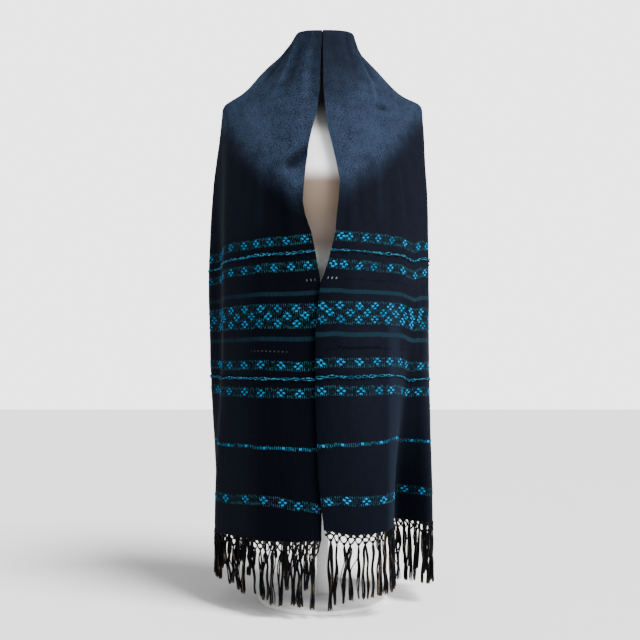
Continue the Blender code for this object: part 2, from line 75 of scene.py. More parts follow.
# Lines down the cloth, from the left inner selvedge round the back to the right one: the angle
# round the neck, then where each breaks from the shoulders, its middle and its hem
STATIONS = np.array((
    (3, -0.034, -0.148, 0.858, 0.004, -0.156, -0.001, -0.156, 0.151),
    (28, -0.076, -0.143, 0.872, -0.062, -0.163, -0.062, -0.166, 0.15),
    (52, -0.13, -0.108, 0.925, -0.127, -0.148, -0.126, -0.142, 0.15),
    (70, -0.178, -0.062, 0.985, -0.197, -0.087, -0.214, -0.062, 0.151),
    (84, -0.2055, -0.016, 1.026, -0.209, -0.026, -0.219, -0.014, 0.152),
    (98, -0.2065, 0.028, 1.024, -0.243, 0.05, -0.222, 0.042, 0.153),
    (128, -0.17, 0.088, 0.98, -0.192, 0.122, -0.186, 0.112, 0.154),
    (154, -0.09, 0.118, 0.96, -0.106, 0.146, -0.108, 0.144, 0.155),
    (180, 0.0, 0.124, 0.955, 0.0, 0.15, 0.0, 0.15, 0.155),
    (206, 0.09, 0.118, 0.96, 0.104, 0.144, 0.106, 0.142, 0.158),
    (232, 0.17, 0.088, 0.98, 0.186, 0.108, 0.184, 0.104, 0.16),
    (262, 0.2055, 0.026, 1.024, 0.221, 0.03, 0.2245, 0.018, 0.164),
    (278, 0.2045, -0.018, 1.026, 0.213, -0.044, 0.218, -0.052, 0.167),
    (292, 0.174, -0.064, 0.985, 0.176, -0.088, 0.15, -0.014, 0.169),
    (303, 0.146, -0.094, 0.948, 0.15, -0.126, 0.141, -0.112, 0.169),
    (315, 0.114, -0.12, 0.912, 0.112, -0.148, 0.11, -0.146, 0.166),
    (334, 0.07, -0.143, 0.872, 0.056, -0.164, 0.056, -0.158, 0.163),
    (357, 0.034, -0.153, 0.858, -0.013, -0.168, 0.0045, -0.166, 0.173),
))
BACK = 8.0
LEFT_EDGE, RIGHT_EDGE = 0.0, 17.0

# Height, and where the left and right inner selvedges lie across the front there
SELVEDGES = np.array((
    (1.178, -0.0006, 0.0006), (1.15, -0.0012, 0.0008), (1.115, -0.0035, 0.0012),
    (1.045, -0.005, 0.0015), (0.993, -0.011, 0.0065),
    (0.957, -0.0205, 0.011), (0.915, -0.0288, 0.021), (0.85, -0.0352, 0.034),
    (0.81, -0.0385, 0.032), (0.783, -0.0335, 0.0285), (0.748, -0.0208, 0.0255),
    (0.713, -0.0138, 0.0172), (0.679, -0.0078, 0.008), (0.646, -0.0015, -0.004),
    (0.565, 0.0035, -0.013),
    (0.424, 0.0035, -0.013), (0.277, 0.001, -0.0075), (0.165, -0.001, 0.0045),
))

# Broad soft folds: place at the top and low end, heights of those ends, half-width in stations,
# and how far each stands out
Fold = namedtuple("Fold", "place_top place_low top low half_width rise")
FOLDS = [Fold(*row) for row in (
    (4.5, 4.35, 0.96, 0.3, 0.3, -0.01),
    (5.6, 5.7, 0.93, 0.1, 0.28, 0.014),
    (6.1, 6.15, 0.9, 0.1, 0.26, -0.012),
    (7.35, 7.25, 0.98, 0.5, 0.3, 0.012),
    (7.95, 7.85, 0.94, 0.5, 0.3, -0.011),
    (8.55, 8.7, 1.0, 0.5, 0.32, 0.013),
    (9.9, 9.85, 0.92, 0.1, 0.26, -0.012),
    (10.4, 10.35, 0.95, 0.1, 0.28, 0.013),
    (12.95, 12.95, 0.985, 0.46, 0.85, 0.009),
)]

TONGUE_SIDES = (20 / 3, 28 / 3)
TONGUE_LOW = 0.63
TONGUE_LIFT = 0.075
TONGUE_PROUD = 0.007
TUCK = 0.006
TUCK_HEIGHTS = (0.93, 0.85, 0.78)
FRONT_SEAMS = (4.0, 13.0)

# Form: height, half-width, depth to the front and to the back, squareness
FORM = np.array((
    (NECK_TOP, NECK_HALF_WIDTH, NECK_HALF_DEPTH, NECK_HALF_DEPTH, 3.2),
    (1.145, 0.0508, 0.0465, 0.047, 3.0), (1.11, 0.057, 0.05, 0.053, 2.5),
    (1.086, 0.08, 0.053, 0.058, 2.1), (1.066, 0.118, 0.055, 0.062, 2.0),
    (1.046, 0.163, 0.057, 0.064, 2.0), (1.028, 0.1945, 0.061, 0.068, 2.1),
    (1.008, 0.2048, 0.071, 0.076, 2.2), (0.975, 0.204, 0.088, 0.086, 2.3),
    (0.925, 0.191, 0.111, 0.093, 2.3), (0.865, 0.178, 0.127, 0.092, 2.2),
    (0.8, 0.16, 0.12, 0.086, 2.2), (0.725, 0.142, 0.098, 0.078, 2.2),
    (0.66, 0.15, 0.098, 0.086, 2.2), (0.59, 0.166, 0.105, 0.098, 2.2),
    (0.53, 0.17, 0.106, 0.102, 2.2),
))
FORM_EDGE = 0.012


def smooth(t):
    """0 up to 0, 1 from 1 on, smooth between."""
    t = np.clip(t, 0.0, 1.0)
    return t * t * (3.0 - 2.0 * t)


def unit(vectors):
    """The same directions with length 1."""
    return vectors / np.maximum(np.linalg.norm(vectors, axis=-1, keepdims=True), 1e-12)


def arc(before, tip, after, part):
    """A quadratic curve from before to after, drawn towards tip."""
    return before * (1 - part) ** 2 + 2 * tip * part * (1 - part) + after * part**2


def running(steps, axis=0):
    """Running totals along an axis, from 0."""
    total = np.cumsum(steps, axis=axis)
    return np.concatenate([np.zeros_like(np.take(total, [0], axis)), total], axis)


def through(values, place):
    """Catmull-Rom through the rows of a table, at a fractional row number."""
    first = np.clip(np.floor(place).astype(int), 0, len(values) - 2)
    part = (place - first)[..., None]
    p0, p1, p2, p3 = (values[np.clip(first + k, 0, len(values) - 1)] for k in (-1, 0, 1, 2))
    p0 = np.where((first == 0)[..., None], 2 * p1 - p2, p0)
    p3 = np.where((first == len(values) - 2)[..., None], 2 * p2 - p1, p3)
    return 0.5 * (2 * p1 + (p2 - p0) * part + (2 * p0 - 5 * p1 + 4 * p2 - p3) * part**2
                  + (3 * p1 - p0 - 3 * p2 + p3) * part**3)


def on_ring(ring, turn):
    """A point of a ring at an angle round the neck, in degrees from the front."""
    angle = np.radians(turn)
    across, along = -np.sin(angle), -np.cos(angle)
    size = (np.abs(across) ** ring.square + np.abs(along) ** ring.square) ** (-1 / ring.square)
    across, along = across * size, along * size
    x = across * np.where(across < 0, ring.left, ring.right)
    y = along * np.where(along < 0, ring.front, ring.back)
    return np.stack([x, y, np.full_like(x, ring.height)], -1)


def fall_line(data, height):
    """The falling line of a station at a height. Above its break it holds still."""
    turn, bx, by, bz, mx, my, hx, hy, hz = np.moveaxis(data, -1, 0)
    upper = 1.0 - (1.0 - np.clip((bz - height) / (bz - MID_HEIGHT), 0.0, 1.0)) ** FALL_EASE
    lower = smooth((MID_HEIGHT - height) / (MID_HEIGHT - hz))
    x = bx + (mx - bx) * upper + (hx - mx) * lower
    y = by + (my - by) * upper + (hy - my) * lower
    return np.stack([x, y, height], -1)


def profile(place, row):
    """A point of the outer face: row 0 to 1 is the margin turned in over the neck, 1 to 2 the
    neck, 2 to 3 the shoulder, and beyond 3 it is 3 plus the depth below the break."""
    data = through(STATIONS, place)
    turn, bz = data[..., 0], data[..., 3]
    rim, foot, brk = on_ring(RIM, turn), on_ring(FOOT, turn), fall_line(data, bz)
    inner = rim * np.array([CAP_INNER, CAP_INNER, 1.0])
    lengths = [np.linalg.norm(b - a, axis=-1) for a, b in ((inner, rim), (rim, foot), (foot, brk))]
    lengths.append(np.ones_like(bz))
    shares = [np.exp(-(((place - shoulder.place) / shoulder.half_width) ** 2))
              for shoulder in SHOULDERS]
    sag = sum(shoulder.sag * share for shoulder, share in zip(SHOULDERS, shares))
    tight = BREAK_BEND + (SHOULDERS[0].bend - BREAK_BEND) * np.max(shares, axis=0)

    def path(row):
        part = np.clip(row - 2, 0, 1)
        slope = foot + (brk - foot) * part[..., None]
        slope[..., 2] -= sag * np.sin(math.pi * part ** 1.5) ** 2
        legs = [inner + (rim - inner) * np.clip(row, 0, 1)[..., None],
                rim + (foot - rim) * np.clip(row - 1, 0, 1)[..., None],
                slope,
                fall_line(data, bz - np.clip(row - 3, 0, None))]
        return np.choose(np.clip(np.floor(row).astype(int), 0, 3)[..., None], legs)

    point = path(row)
    for number, bend, tip in ((1, RIM_BEND, rim), (2, FOOT_BEND, foot), (3, tight, brk)):
        before, after = bend / lengths[number - 1], bend / lengths[number]
        step = (row - number) / np.where(row < number, before, after)
        part = np.clip((step + 1.0) / 2.0, 0.0, 1.0)[..., None]
        rounded = arc(path(number - before), tip, path(number + after), part)
        point = np.where((np.abs(step) < 1.0)[..., None], rounded, point)
    return point


def rise(place, height):
    """How far the broad folds stand out."""
    total = np.zeros_like(place)
    for fold in FOLDS:
        run = (fold.top - height) / (fold.top - fold.low)
        middle = fold.place_top + (fold.place_low - fold.place_top) * np.clip(run, 0, 1)
        grown = smooth(run * 2.5) * (smooth((1.0 - run) * 3.0) if fold.low > 0.2 else 1.0)
        total += fold.rise * grown * np.exp(-(((place - middle) / fold.half_width) ** 2))
    return total


def outward(place, row):
    """The level outward direction of the plain surface."""
    after, before = (profile(np.clip(place + step, LEFT_EDGE, RIGHT_EDGE), row)
                     for step in (SMALL_STEP, -SMALL_STEP))
    along = after - before
    return unit(np.stack([-along[..., 1], along[..., 0], np.zeros_like(place)], -1))


def cloth(place, row, proud=0.0):
    """The cloth's outer face with its broad folds and its selvedges. proud moves it outward."""
    place, row = np.broadcast_arrays(np.asarray(place, float), np.asarray(row, float))
    point = profile(place, row)
    height = point[..., 2]
    point = point + outward(place, row) * (rise(place, height) * (row > 2) + proud)[..., None]
    for edge, inward, column in ((LEFT_EDGE, 1.0, 1), (RIGHT_EDGE, -1.0, 2)):
        own = profile(np.full_like(place, edge), row)
        wanted = np.interp(own[..., 2], SELVEDGES[::-1, 0], SELVEDGES[::-1, column])
        point[..., 0] += (wanted - own[..., 0]) * smooth(1.0 - (place - edge) * inward)
    return point


def break_height(place):
    """Where the cloth breaks from the shoulders."""
    return through(STATIONS, place)[..., 3]


def hem_height(place):
    return through(STATIONS, place)[..., 8]


def outer_selvedge(start, way):
    """Where the cloth's width ends at the hem, counted from an inner selvedge."""
    place = start + way * np.linspace(0, 8, 400)
    point = cloth(place, 3 + break_height(place) - hem_height(place))
    distance = running(np.linalg.norm(np.diff(point, axis=0), axis=-1))
    return float(np.interp(CLOTH_WIDTH, distance, place))


# ---------------- fine sheets of cloth

CLOTH_THICKNESS = 0.001
FORM_GAP = 0.0016          # least distance from the form's face to the cloth's inner face
FORM_CLEARED = (0.5, NECK_TOP - 0.004)         # the heights between which that is kept
RELIEF_UNIT = 0.004        # the rise of a crease that counts as 1 in the look
COLUMN_STEP = 0.0042
ROW_STEP = 0.0044
CAP_ROWS = 6
BREAK_ROWS = 10
NECK_LENGTH = 0.058
YOKE_HEIGHT = 1.1          # stands for every height above the break
END_SPREAD, BACK_SPREAD = 0.6, 0.75            # heights at which the columns lie a fair step apart
END_LENGTHS = (0.15, 0.8)                      # of the shoulder, and from there to the hem
BACK_LENGTHS = (0.125, 0.913 - TONGUE_LOW)
PLEAT_LIFT = 0.0034        # how far the back lies over the ends beside it, near the neck
PLEAT_MARGIN = 0.1         # how far the ends reach under it there, in stations
PLEAT_SINK = 0.0007        # and how far they are pressed down there
ROLL_RADII = (0.0015, 0.0032)
ROLL_STEPS = 5
ROLL_RETURN = 4            # columns of the back turned under at each side
LEFT_LIGHT_SHIFT = 0.016    # how much lower than its break the left end's painted yoke light reaches
BACK_START = (0.5, 0.75)   # what the back's own measures start from
SHEET_SEED = 11
# The cloth's small unevenness: height, sizes across and along, and where it is read from
UNEVEN = ((0.00055, 0.055, 0.12, 3, 5), (0.0003, 0.022, 0.035, 7, 0),
          (0.00012, 0.01, 0.014, 0, 9))


def fair_places(start, end, height):
    """Columns a fair distance apart at a height, closer together where the cloth bends hard."""
    place = np.linspace(start, end, 1500)
    point = cloth(place, 3 + np.maximum(break_height(place) - height, 0.0))
    way = np.diff(point, axis=0)
    size = np.linalg.norm(way, axis=-1)
    turn = np.unwrap(np.arctan2(way[:, 1], way[:, 0]))
    bend = np.abs(np.gradient(turn)) / size
    bend = np.convolve(bend, np.ones(25) / 25, "same")
    weight = running(size * (1 + 0.01 * bend))
    count = round(weight[-1] / COLUMN_STEP)
    return np.interp(np.linspace(0, weight[-1], count + 1), weight, place)


def lay_rows(fixed, lengths, low_at, place_at):
    """Places, row numbers and heights of a sheet's points, down to the heights low_at gives.
    fixed is each column's place on the yoke, and place_at gives it at a height below that."""
    slope, drop = lengths
    yoke = np.concatenate([np.linspace(0, 1, CAP_ROWS, endpoint=False),
                           np.linspace(1, 2, round(NECK_LENGTH / ROW_STEP), endpoint=False),
                           np.linspace(2, 3, round(slope / ROW_STEP), endpoint=False),
                           3 + np.linspace(0, BREAK_BEND + YOKE_SKIRT, BREAK_ROWS)])
    rows = [np.full_like(fixed, row) for row in yoke]
    places = [fixed] * len(rows)
    count = round(drop / ROW_STEP)
    for part in np.arange(1, count + 1) / count:
        place = fixed
        for _ in range(4):
            top = break_height(place) - BREAK_BEND - YOKE_SKIRT
            height = top + (low_at(place) - top) * part
            place = place_at(height)
        places.append(place)
        rows.append(3 + break_height(place) - height)
    place, row = np.stack(places), np.stack(rows)
    return place, row, np.where(row > 3, break_height(place) - (row - 3), YOKE_HEIGHT)


def normals_of(points, way=1):
    """Outward normals of a grid. way is -1 where its columns run against the stations' order."""
    down = np.gradient(points, axis=0)
    along = np.gradient(points, axis=1)
    return unit(np.cross(along, down)) * way


class Noise:
    """Smooth value noise on two coordinates, the same on every run."""

    def __init__(self, seed):
        self.table = np.random.default_rng(seed).uniform(-1, 1, (97, 97))

    def __call__(self, a, b, size_a, size_b):
        a, b = a / size_a, b / size_b
        i, j = np.floor(a).astype(int), np.floor(b).astype(int)
        s, t = smooth(a - i), smooth(b - j)
        i, j = i % 96, j % 96
        low, high = (self.table[i, j + k] * (1 - s) + self.table[i + 1, j + k] * s for k in (0, 1))
        return low * (1 - t) + high * t


noise = Noise(SHEET_SEED)

# Soft creases placed one by one: three points of each as place in hundredths of a station and height
# in millimetres, then its half-width and how far it stands out, in tenths of a millimetre
CREASES = (
    # collar and front shoulders, left
    (155, 1172, 180, 1108, 230, 990, 52, 42), (115, 1160, 130, 1105, 160, 1030, 65, -26),
    (60, 1172, 65, 1110, 75, 1010, 80, 20), (260, 1165, 285, 1115, 310, 1050, 75, -36),
    (340, 1120, 345, 1080, 360, 1020, 75, 26),
    # the hollow beside the opening on the left, and the swell under it
    (-15, 926, 45, 896, 110, 878, 112, -92), (130, 868, 70, 850, 15, 828, 80, 22),
    # collar and front shoulders, right
    (1535, 1172, 1510, 1120, 1495, 1040, 70, -36), (1445, 1150, 1410, 1085, 1450, 992, 56, 70),
    (1620, 1165, 1610, 1100, 1595, 1020, 80, 20), (1360, 1160, 1340, 1110, 1330, 1055, 70, -36),
    # a dimple with a swag round it on the right
    (1442, 1022, 1410, 1009, 1365, 1020, 52, -74), (1470, 1004, 1380, 990, 1270, 1022, 52, 54),
    (1665, 905, 1590, 908, 1500, 930, 100, 34),
    # broad swells and hollows of the yoke
    (1590, 985, 1510, 945, 1440, 950, 280, 40), (1650, 1168, 1620, 1120, 1570, 1075, 160, -40),
    (290, 1020, 220, 960, 160, 950, 260, 24),
    # loose folds under the bust
    (245, 890, 250, 830, 260, 730, 90, -34), (190, 880, 195, 810, 200, 720, 90, 26),
    (125, 860, 125, 800, 130, 720, 95, -30), (1590, 880, 1590, 820, 1580, 740, 90, -34),
    (1515, 905, 1510, 830, 1500, 740, 95, 30), (1380, 905, 1355, 830, 1335, 740, 90, -30),
    (1450, 880, 1445, 800, 1440, 720, 80, -22),
    # shoulder tops
    (415, 1176, 410, 1120, 400, 1060, 80, 26), (505, 1170, 510, 1110, 520, 1050, 85, -26),
    (1260, 1174, 1255, 1118, 1250, 1064, 80, 26), (1160, 1168, 1150, 1108, 1135, 1046, 85, -26),
    # back of the neck, fanning down the blades
    (585, 1172, 600, 1105, 620, 1010, 85, 30), (725, 1180, 720, 1090, 705, 985, 90, 32),
    (770, 1165, 768, 1080, 760, 990, 80, -26), (815, 1178, 820, 1100, 825, 1005, 90, 30),
    (885, 1170, 895, 1085, 905, 985, 80, -28), (1015, 1172, 1000, 1100, 985, 1005, 85, 30),
    (1100, 1150, 1085, 1090, 1070, 1020, 80, -24),
    # swags between the blades
    (700, 955, 800, 868, 900, 960, 110, 46), (710, 905, 805, 800, 895, 900, 120, -40),
    (725, 850, 790, 742, 880, 835, 130, 40),
    # hanging folds of the back
    (695, 900, 698, 800, 705, 690, 100, 44), (905, 890, 900, 780, 895, 680, 100, 44),
    (835, 760, 830, 690, 832, 640, 80, -30), (755, 740, 760, 690, 755, 655, 75, 28),
    # left side, round to the back
    (485, 990, 490, 760, 480, 520, 120, 40), (515, 930, 515, 640, 520, 330, 100, -42),
    (535, 700, 540, 500, 538, 170, 90, 34), (635, 930, 640, 700, 642, 380, 100, 42),
    (665, 700, 670, 450, 672, 160, 100, -40), (695, 560, 698, 380, 700, 155, 85, 36),
    (400, 560, 402, 430, 405, 300, 70, 14),
    # right side, round to the back
    (1200, 985, 1205, 740, 1210, 480, 110, 34), (1155, 950, 1155, 660, 1150, 300, 105, -40),
    (1120, 760, 1115, 500, 1118, 180, 90, 36), (1085, 940, 1080, 700, 1082, 420, 90, -34),
    (960, 900, 950, 680, 952, 360, 100, 38), (930, 640, 925, 440, 926, 170, 90, -36),
    (1245, 700, 1250, 480, 1245, 200, 85, -20),
    # front, barely there: the ends hang flat
    (330, 860, 325, 640, 330, 430, 100, -10), (230, 600, 220, 420, 225, 220, 140, -12),
    (115, 700, 120, 460, 110, 200, 160, 10), (1460, 820, 1455, 640, 1460, 480, 130, -14),
    (1540, 640, 1545, 430, 1540, 220, 150, 12), (1620, 560, 1625, 380, 1620, 210, 130, -10),
)
CREASE_UNITS = np.array((100, 1000) * 3 + (10000, 10000))
CREASE_POINTS = 14


def on_cloth(place, height):
    """The plain surface at a place and a height, on the neck, the shoulders or the fall."""
    rows = np.concatenate([np.linspace(1, 3, 80), 3 + np.linspace(0.004, 0.9, 300)])
    line = cloth(np.full_like(rows, place), rows)
    line = line[np.argsort(line[:, 2])]
    return [float(np.interp(height, line[:, 2], line[:, k])) for k in range(3)]


def crease_line(points):
    """Points of the plain surface along a crease."""
    a, b, c = np.reshape(points, (3, 2))
    part = np.linspace(0, 1, CREASE_POINTS)[:, None]
    return np.array([on_cloth(*point) for point in arc(a, 2 * b - (a + c) / 2, c, part)])


CREASE_LINES = [(crease_line(crease[:6]), *crease[6:]) for crease in np.array(CREASES) / CREASE_UNITS]


def crease_rise(points):
    """How far the creases move each point along its normal."""
    flat = points.reshape(-1, 3)
    total = np.zeros(len(flat))
    for line, half_width, out in CREASE_LINES:
        reach = 3.0 * half_width
        near = np.all((flat > line.min(0) - reach) & (flat < line.max(0) + reach), axis=1)
        chosen = flat[near]
        if not len(chosen):
            continue
        best = np.full(len(chosen), np.inf)
        run = np.zeros(len(chosen))
        for k in range(len(line) - 1):
            way = line[k + 1] - line[k]
            part = np.clip((chosen - line[k]) @ way / (way @ way), 0, 1)
            gap = np.linalg.norm(chosen - line[k] - part[:, None] * way, axis=1)
            closer = gap < best
            best = np.where(closer, gap, best)
            run = np.where(closer, (k + part) / (len(line) - 1), run)
        grown = smooth(run * 3.2) * smooth((1 - run) * 3.2)
        total[near] += out * grown * np.exp(-((best / (half_width * (0.8 + 0.5 * run))) ** 2))
    return total.reshape(points.shape[:2])


def clear_of_form(points):
    """Moves points that have come too near the form straight out from its axis."""
    height = points[..., 2]
    wide, front, back, square = (np.interp(height, FORM[::-1, 0], FORM[::-1, k])
                                 for k in range(1, 5))
    deep = np.where(points[..., 1] < 0, front, back)
    reach = FORM_GAP + CLOTH_THICKNESS
    measure = ((np.abs(points[..., 0]) / (wide + reach)) ** square
               + (np.abs(points[..., 1]) / (deep + reach)) ** square) ** (1 / square)
    beside = (height > FORM_CLEARED[0]) & (height < FORM_CLEARED[1])
    scale = np.where(beside & (measure < 1), 1 / np.maximum(measure, 0.5), 1.0)
    moved = points.copy()
    moved[..., :2] *= np.clip(scale, 1.0, 1.06)[..., None]
    return moved


def lay_measures(points):
    """Distance from the first column along each row, and from the lowest row up each column."""
    across = running(np.linalg.norm(np.diff(points, axis=1), axis=-1), 1)
    along = running(np.linalg.norm(np.diff(points[::-1], axis=0), axis=-1))[::-1]
    return across, along


# above is the height above the break, and way is -1 where the columns run against the stations
Sheet = namedtuple("Sheet", "points normals across along above way")


def measured(points, above, way=1, start=(0.0, 0.0)):
    """A sheet of points with its normals and measures."""
    across, along = lay_measures(points)
    return Sheet(points, normals_of(points, way), across + start[0], along + start[1], above, way)


def roughen(points, lift, way=1):
    """Adds the creases, small unevenness and a lift along the surface's own normal."""
    across, along = lay_measures(points)
    uneven = sum(size * noise(across + a, along + b, wide, long) for size, wide, long, a, b in UNEVEN)
    shift = crease_rise(points) + uneven + lift
    return clear_of_form(points + normals_of(points, way) * shift[..., None])


def fallen(height, high, low):
    """0 above one height, 1 below the other."""
    return smooth((high - height) / (high - low))


def end_sheet(edge, seam, fold, way):
    """One hanging end with its shoulder, from the inner selvedge to the outer one."""
    selvedge = outer_selvedge(edge, way)
    reach = fold + way * PLEAT_MARGIN
    fixed = fair_places(edge, reach, END_SPREAD)
    beyond = np.clip((fixed - seam) / (reach - seam), 0, 1)

    def place_at(height):
        return fixed + (selvedge - reach) * fallen(height, *TUCK_HEIGHTS[1:]) * beyond**2

    place, row, height = lay_rows(fixed, END_LENGTHS, hem_height, place_at)
    past = smooth(np.abs(place - seam) / abs(fold - seam) * 4 - 3)
    points = cloth(place, row, -TUCK * past * fallen(height, *TUCK_HEIGHTS[1:]))
    under = smooth((np.abs(fixed - edge) - abs(fold - edge)) / PLEAT_MARGIN + 1.0)
    points = roughen(points, -PLEAT_SINK * under, way)
    # lowered on the left end, so that its painted yoke light reaches further down
    above = points[..., 2] - break_height(place) + (LEFT_LIGHT_SHIFT if way > 0 else 0)
    return measured(points, above, way)


def back_sheet():
    """The middle of the shawl, from the neck to its lower selvedge, turned under at its sides."""
    left, right = TONGUE_SIDES
    fixed = fair_places(left, right, BACK_SPREAD)
    off = np.abs(fixed - BACK) / (BACK - left)
    low = TONGUE_LOW + TONGUE_LIFT * off**2.5
    place, row, height = lay_rows(fixed, BACK_LENGTHS, lambda place: low, lambda height: fixed)
    down = fallen(height, *TUCK_HEIGHTS[:2])
    points = cloth(place, row, TONGUE_PROUD * smooth(off * 1.6 - 0.4) * down)
    points = roughen(points, PLEAT_LIFT * smooth(off * 2.2 - 1.2) * (1 - 0.6 * down))
    normals = normals_of(points)
    radius = ROLL_RADII[0] + (ROLL_RADII[1] - ROLL_RADII[0]) * down.max(axis=1)[:, None]
    # each side turned under: a half round, then back beneath the face
    sides = []
    for first, step in ((0, 1), (-1, -1)):
        edge, face = points[:, first], normals[:, first]
        out = unit(edge - points[:, first + step])
        roll = [edge + radius * (math.sin(turn) * out - (1 - math.cos(turn)) * face)
                for turn in np.radians(np.linspace(0, 180, ROLL_STEPS + 1)[1:])]
        back = [points[:, first + step * k] - 2 * radius * normals[:, first + step * k]
                for k in range(1, ROLL_RETURN + 1)]
        sides.append(np.stack(roll + back, axis=1)[:, ::-step])
    points = np.concatenate([sides[0], points, sides[1]], axis=1)
    return measured(points, points[..., 2] - break_height(np.array(BACK)), start=BACK_START)


left_sheet = end_sheet(LEFT_EDGE, FRONT_SEAMS[0], TONGUE_SIDES[0], 1)
right_sheet = end_sheet(RIGHT_EDGE, FRONT_SEAMS[1], TONGUE_SIDES[1], -1)
middle_sheet = back_sheet()


# ---------------- the woven pattern's rows

# Heights above the hem in the pattern itself, then as each end was woven and hangs, and how much
# a row drops for each metre away from the inner selvedge
Band = namedtuple("Band", "kind pattern left right left_drop right_drop")
BANDS = [Band(*row) for row in (
    ("start", 0.0, 0.0, 0.0, 0.0, 0.0),
    ("flowers", 0.068, 0.073, 0.064, 0.0, 0.0),
    ("dashes", 0.178, 0.18, 0.174, 0.0, 0.0),
    ("flowers", 0.283, 0.287, 0.276, 0.01, 0.01),
    ("chain", 0.309, 0.314, 0.304, 0.01, 0.01),
    ("flowers", 0.3345, 0.34, 0.332, 0.01, 0.01),
    ("slits", 0.363, 0.367, 0.357, 0.01, 0.01),
    ("stripe", 0.387, 0.391, 0.3855, 0.02, 0.02),
    ("flowers", 0.416, 0.421, 0.4135, 0.02, 0.02),
    ("flowers between", 0.4305, 0.4355, 0.427, 0.02, 0.02),
    ("flowers", 0.445, 0.45, 0.44, 0.02, 0.02),
    ("stripe", 0.474, 0.478, 0.467, 0.03, 0.03),
    ("slits", 0.498, 0.502, 0.49, 0.04, 0.04),
    ("flowers", 0.5265, 0.529, 0.516, 0.06, 0.05),
    ("chain", 0.552, 0.556, 0.544, 0.07, 0.045),
    ("flowers", 0.578, 0.581, 0.572, 0.075, 0.045),
    ("end", 1.4, 1.4, 1.4, 0.0, 0.0),
)]
BROCADED = ("flowers", "flowers between", "dashes")
DROP_FROM = 0.1            # distance from the inner selvedge at which a row has its own height

# How much lower a row hangs right at the inner selvedge, and over what distance that passes
EDGE_DIPS = {"left": ((0.068, 0.01), (0.178, 0.003), (0.283, 0.0)),
             "right": ((0.0, 0.008), (0.45, 0.007), (0.52, 0.003))}
EDGE_DIP_REACH = 0.045

# How far each row then strays up or down, in millimetres, at these distances across
STRAYS = {
    "left": ((0, 50, 90, 130, 170, 215, 260), {
        0.0: (0, 0, 0, 0, 0, 0, 0), 0.068: (-2.5, -3, 5.5, 7, 3, -1, 0),
        0.178: (-2, -2, 1.5, 0.5, 2, 0, 0), 0.283: (-1.5, -1.5, 0.8, 0, 1.7, 2, 0),
        0.3345: (-2.5, -2.5, 0, 2.3, 0.7, 1, 0), 0.43: (0, -0.8, 0, 0.3, 0, 0.3, 0),
        0.5265: (0, -1.6, -1, 1.2, -0.4, 2, 0), 0.578: (-1.3, -4, -1.5, -2, -1.3, 1.9, 0)}),
    "right": ((0, 50, 88, 125, 155, 180, 205, 225, 262, 300), {
        0.0: (0, 0, 0, 0, 0, 0, 0, 0, 0, 0), 0.068: (-2.4, 2, 0, -2, -1, 0, 0, 0, 0, 0),
        0.178: (-3.7, -2, 2, 0, 2, 4, 1, -2, -6, -8),
        0.283: (-0.8, -0.5, 1.9, 0.3, -1.4, -3, -1.5, -1.5, -6.4, -6),
        0.3345: (-2.6, -0.5, 1.9, 0.2, -1.5, -3, -1.8, -1.5, -10, -9),
        0.43: (-1.7, 0, 1.6, 0.5, -2.6, -4, -4, -1.0, -8, -8),
        0.5265: (0, 1.5, 2.5, -1.6, -1.3, -3, -3.4, -1, 3, 3),
        0.578: (0.4, 2, 0, -1.6, -3.7, -3.7, -3.7, -1, 1, 1)}),
}


def band_height(band, side, across):
    """How high a row hangs above its hem, at distances from the inner selvedge."""
    across = np.asarray(across)
    own, drop = getattr(band, side), getattr(band, side + "_drop")
    dip = np.interp(band.pattern, *zip(*EDGE_DIPS[side]))
    near = 1 - smooth(across / EDGE_DIP_REACH)
    places, rows = STRAYS[side]
    stray = [np.interp(band.pattern, list(rows), column) for column in zip(*rows.values())]
    own = own + np.interp(across * 1000, places, stray) / 1000 * (band.kind != "end")
    return own - drop * (across - DROP_FROM) - (dip if band.pattern > 0 else 0) * near


def pattern_height(side, sheet):
    """The pattern's own height at the points of an end."""
    found = sheet.along
    for low, high in zip(BANDS, BANDS[1:]):
        a, b = (band_height(band, side, sheet.across) for band in (low, high))
        part = (sheet.along - a) / (b - a)
        inside = (part >= 0) & (part < 1)
        found = np.where(inside, low.pattern + part * (high.pattern - low.pattern), found)
    return found


# ---------------- meshes

def new_object(name, data):
    """An object in the scene."""
    obj = bpy.data.objects.new(name, data)
    bpy.context.scene.collection.objects.link(obj)
    return obj


def new_mesh(name, vertices, faces, attributes=(), sharp=40.0):
    """A mesh object from points and a list of arrays of faces with the same number of corners."""
    mesh = bpy.data.meshes.new(name)
    sizes = np.concatenate([np.full(len(group), group.shape[1], np.int32) for group in faces])
    corners = np.concatenate([group.ravel() for group in faces]).astype(np.int32)
    mesh.vertices.add(len(vertices))
    mesh.vertices.foreach_set("co", vertices.astype(np.float32).ravel())
    mesh.loops.add(len(corners))
    mesh.loops.foreach_set("vertex_index", corners)
    mesh.polygons.add(len(sizes))
    mesh.polygons.foreach_set("loop_start", running(sizes)[:-1].astype(np.int32))
    mesh.polygons.foreach_set("loop_total", sizes)
    for title, values in attributes:
        kind, key = ("FLOAT", "value") if values.ndim == 1 else ("FLOAT_VECTOR", "vector")
        layer = mesh.attributes.new(title, kind, "POINT")
        layer.data.foreach_set(key, values.astype(np.float32).ravel())
    mesh.update()
    mesh.validate()
    mesh.shade_smooth()
    if sharp:
        mesh.set_sharp_from_angle(angle=math.radians(sharp))
    return new_object(name, mesh)


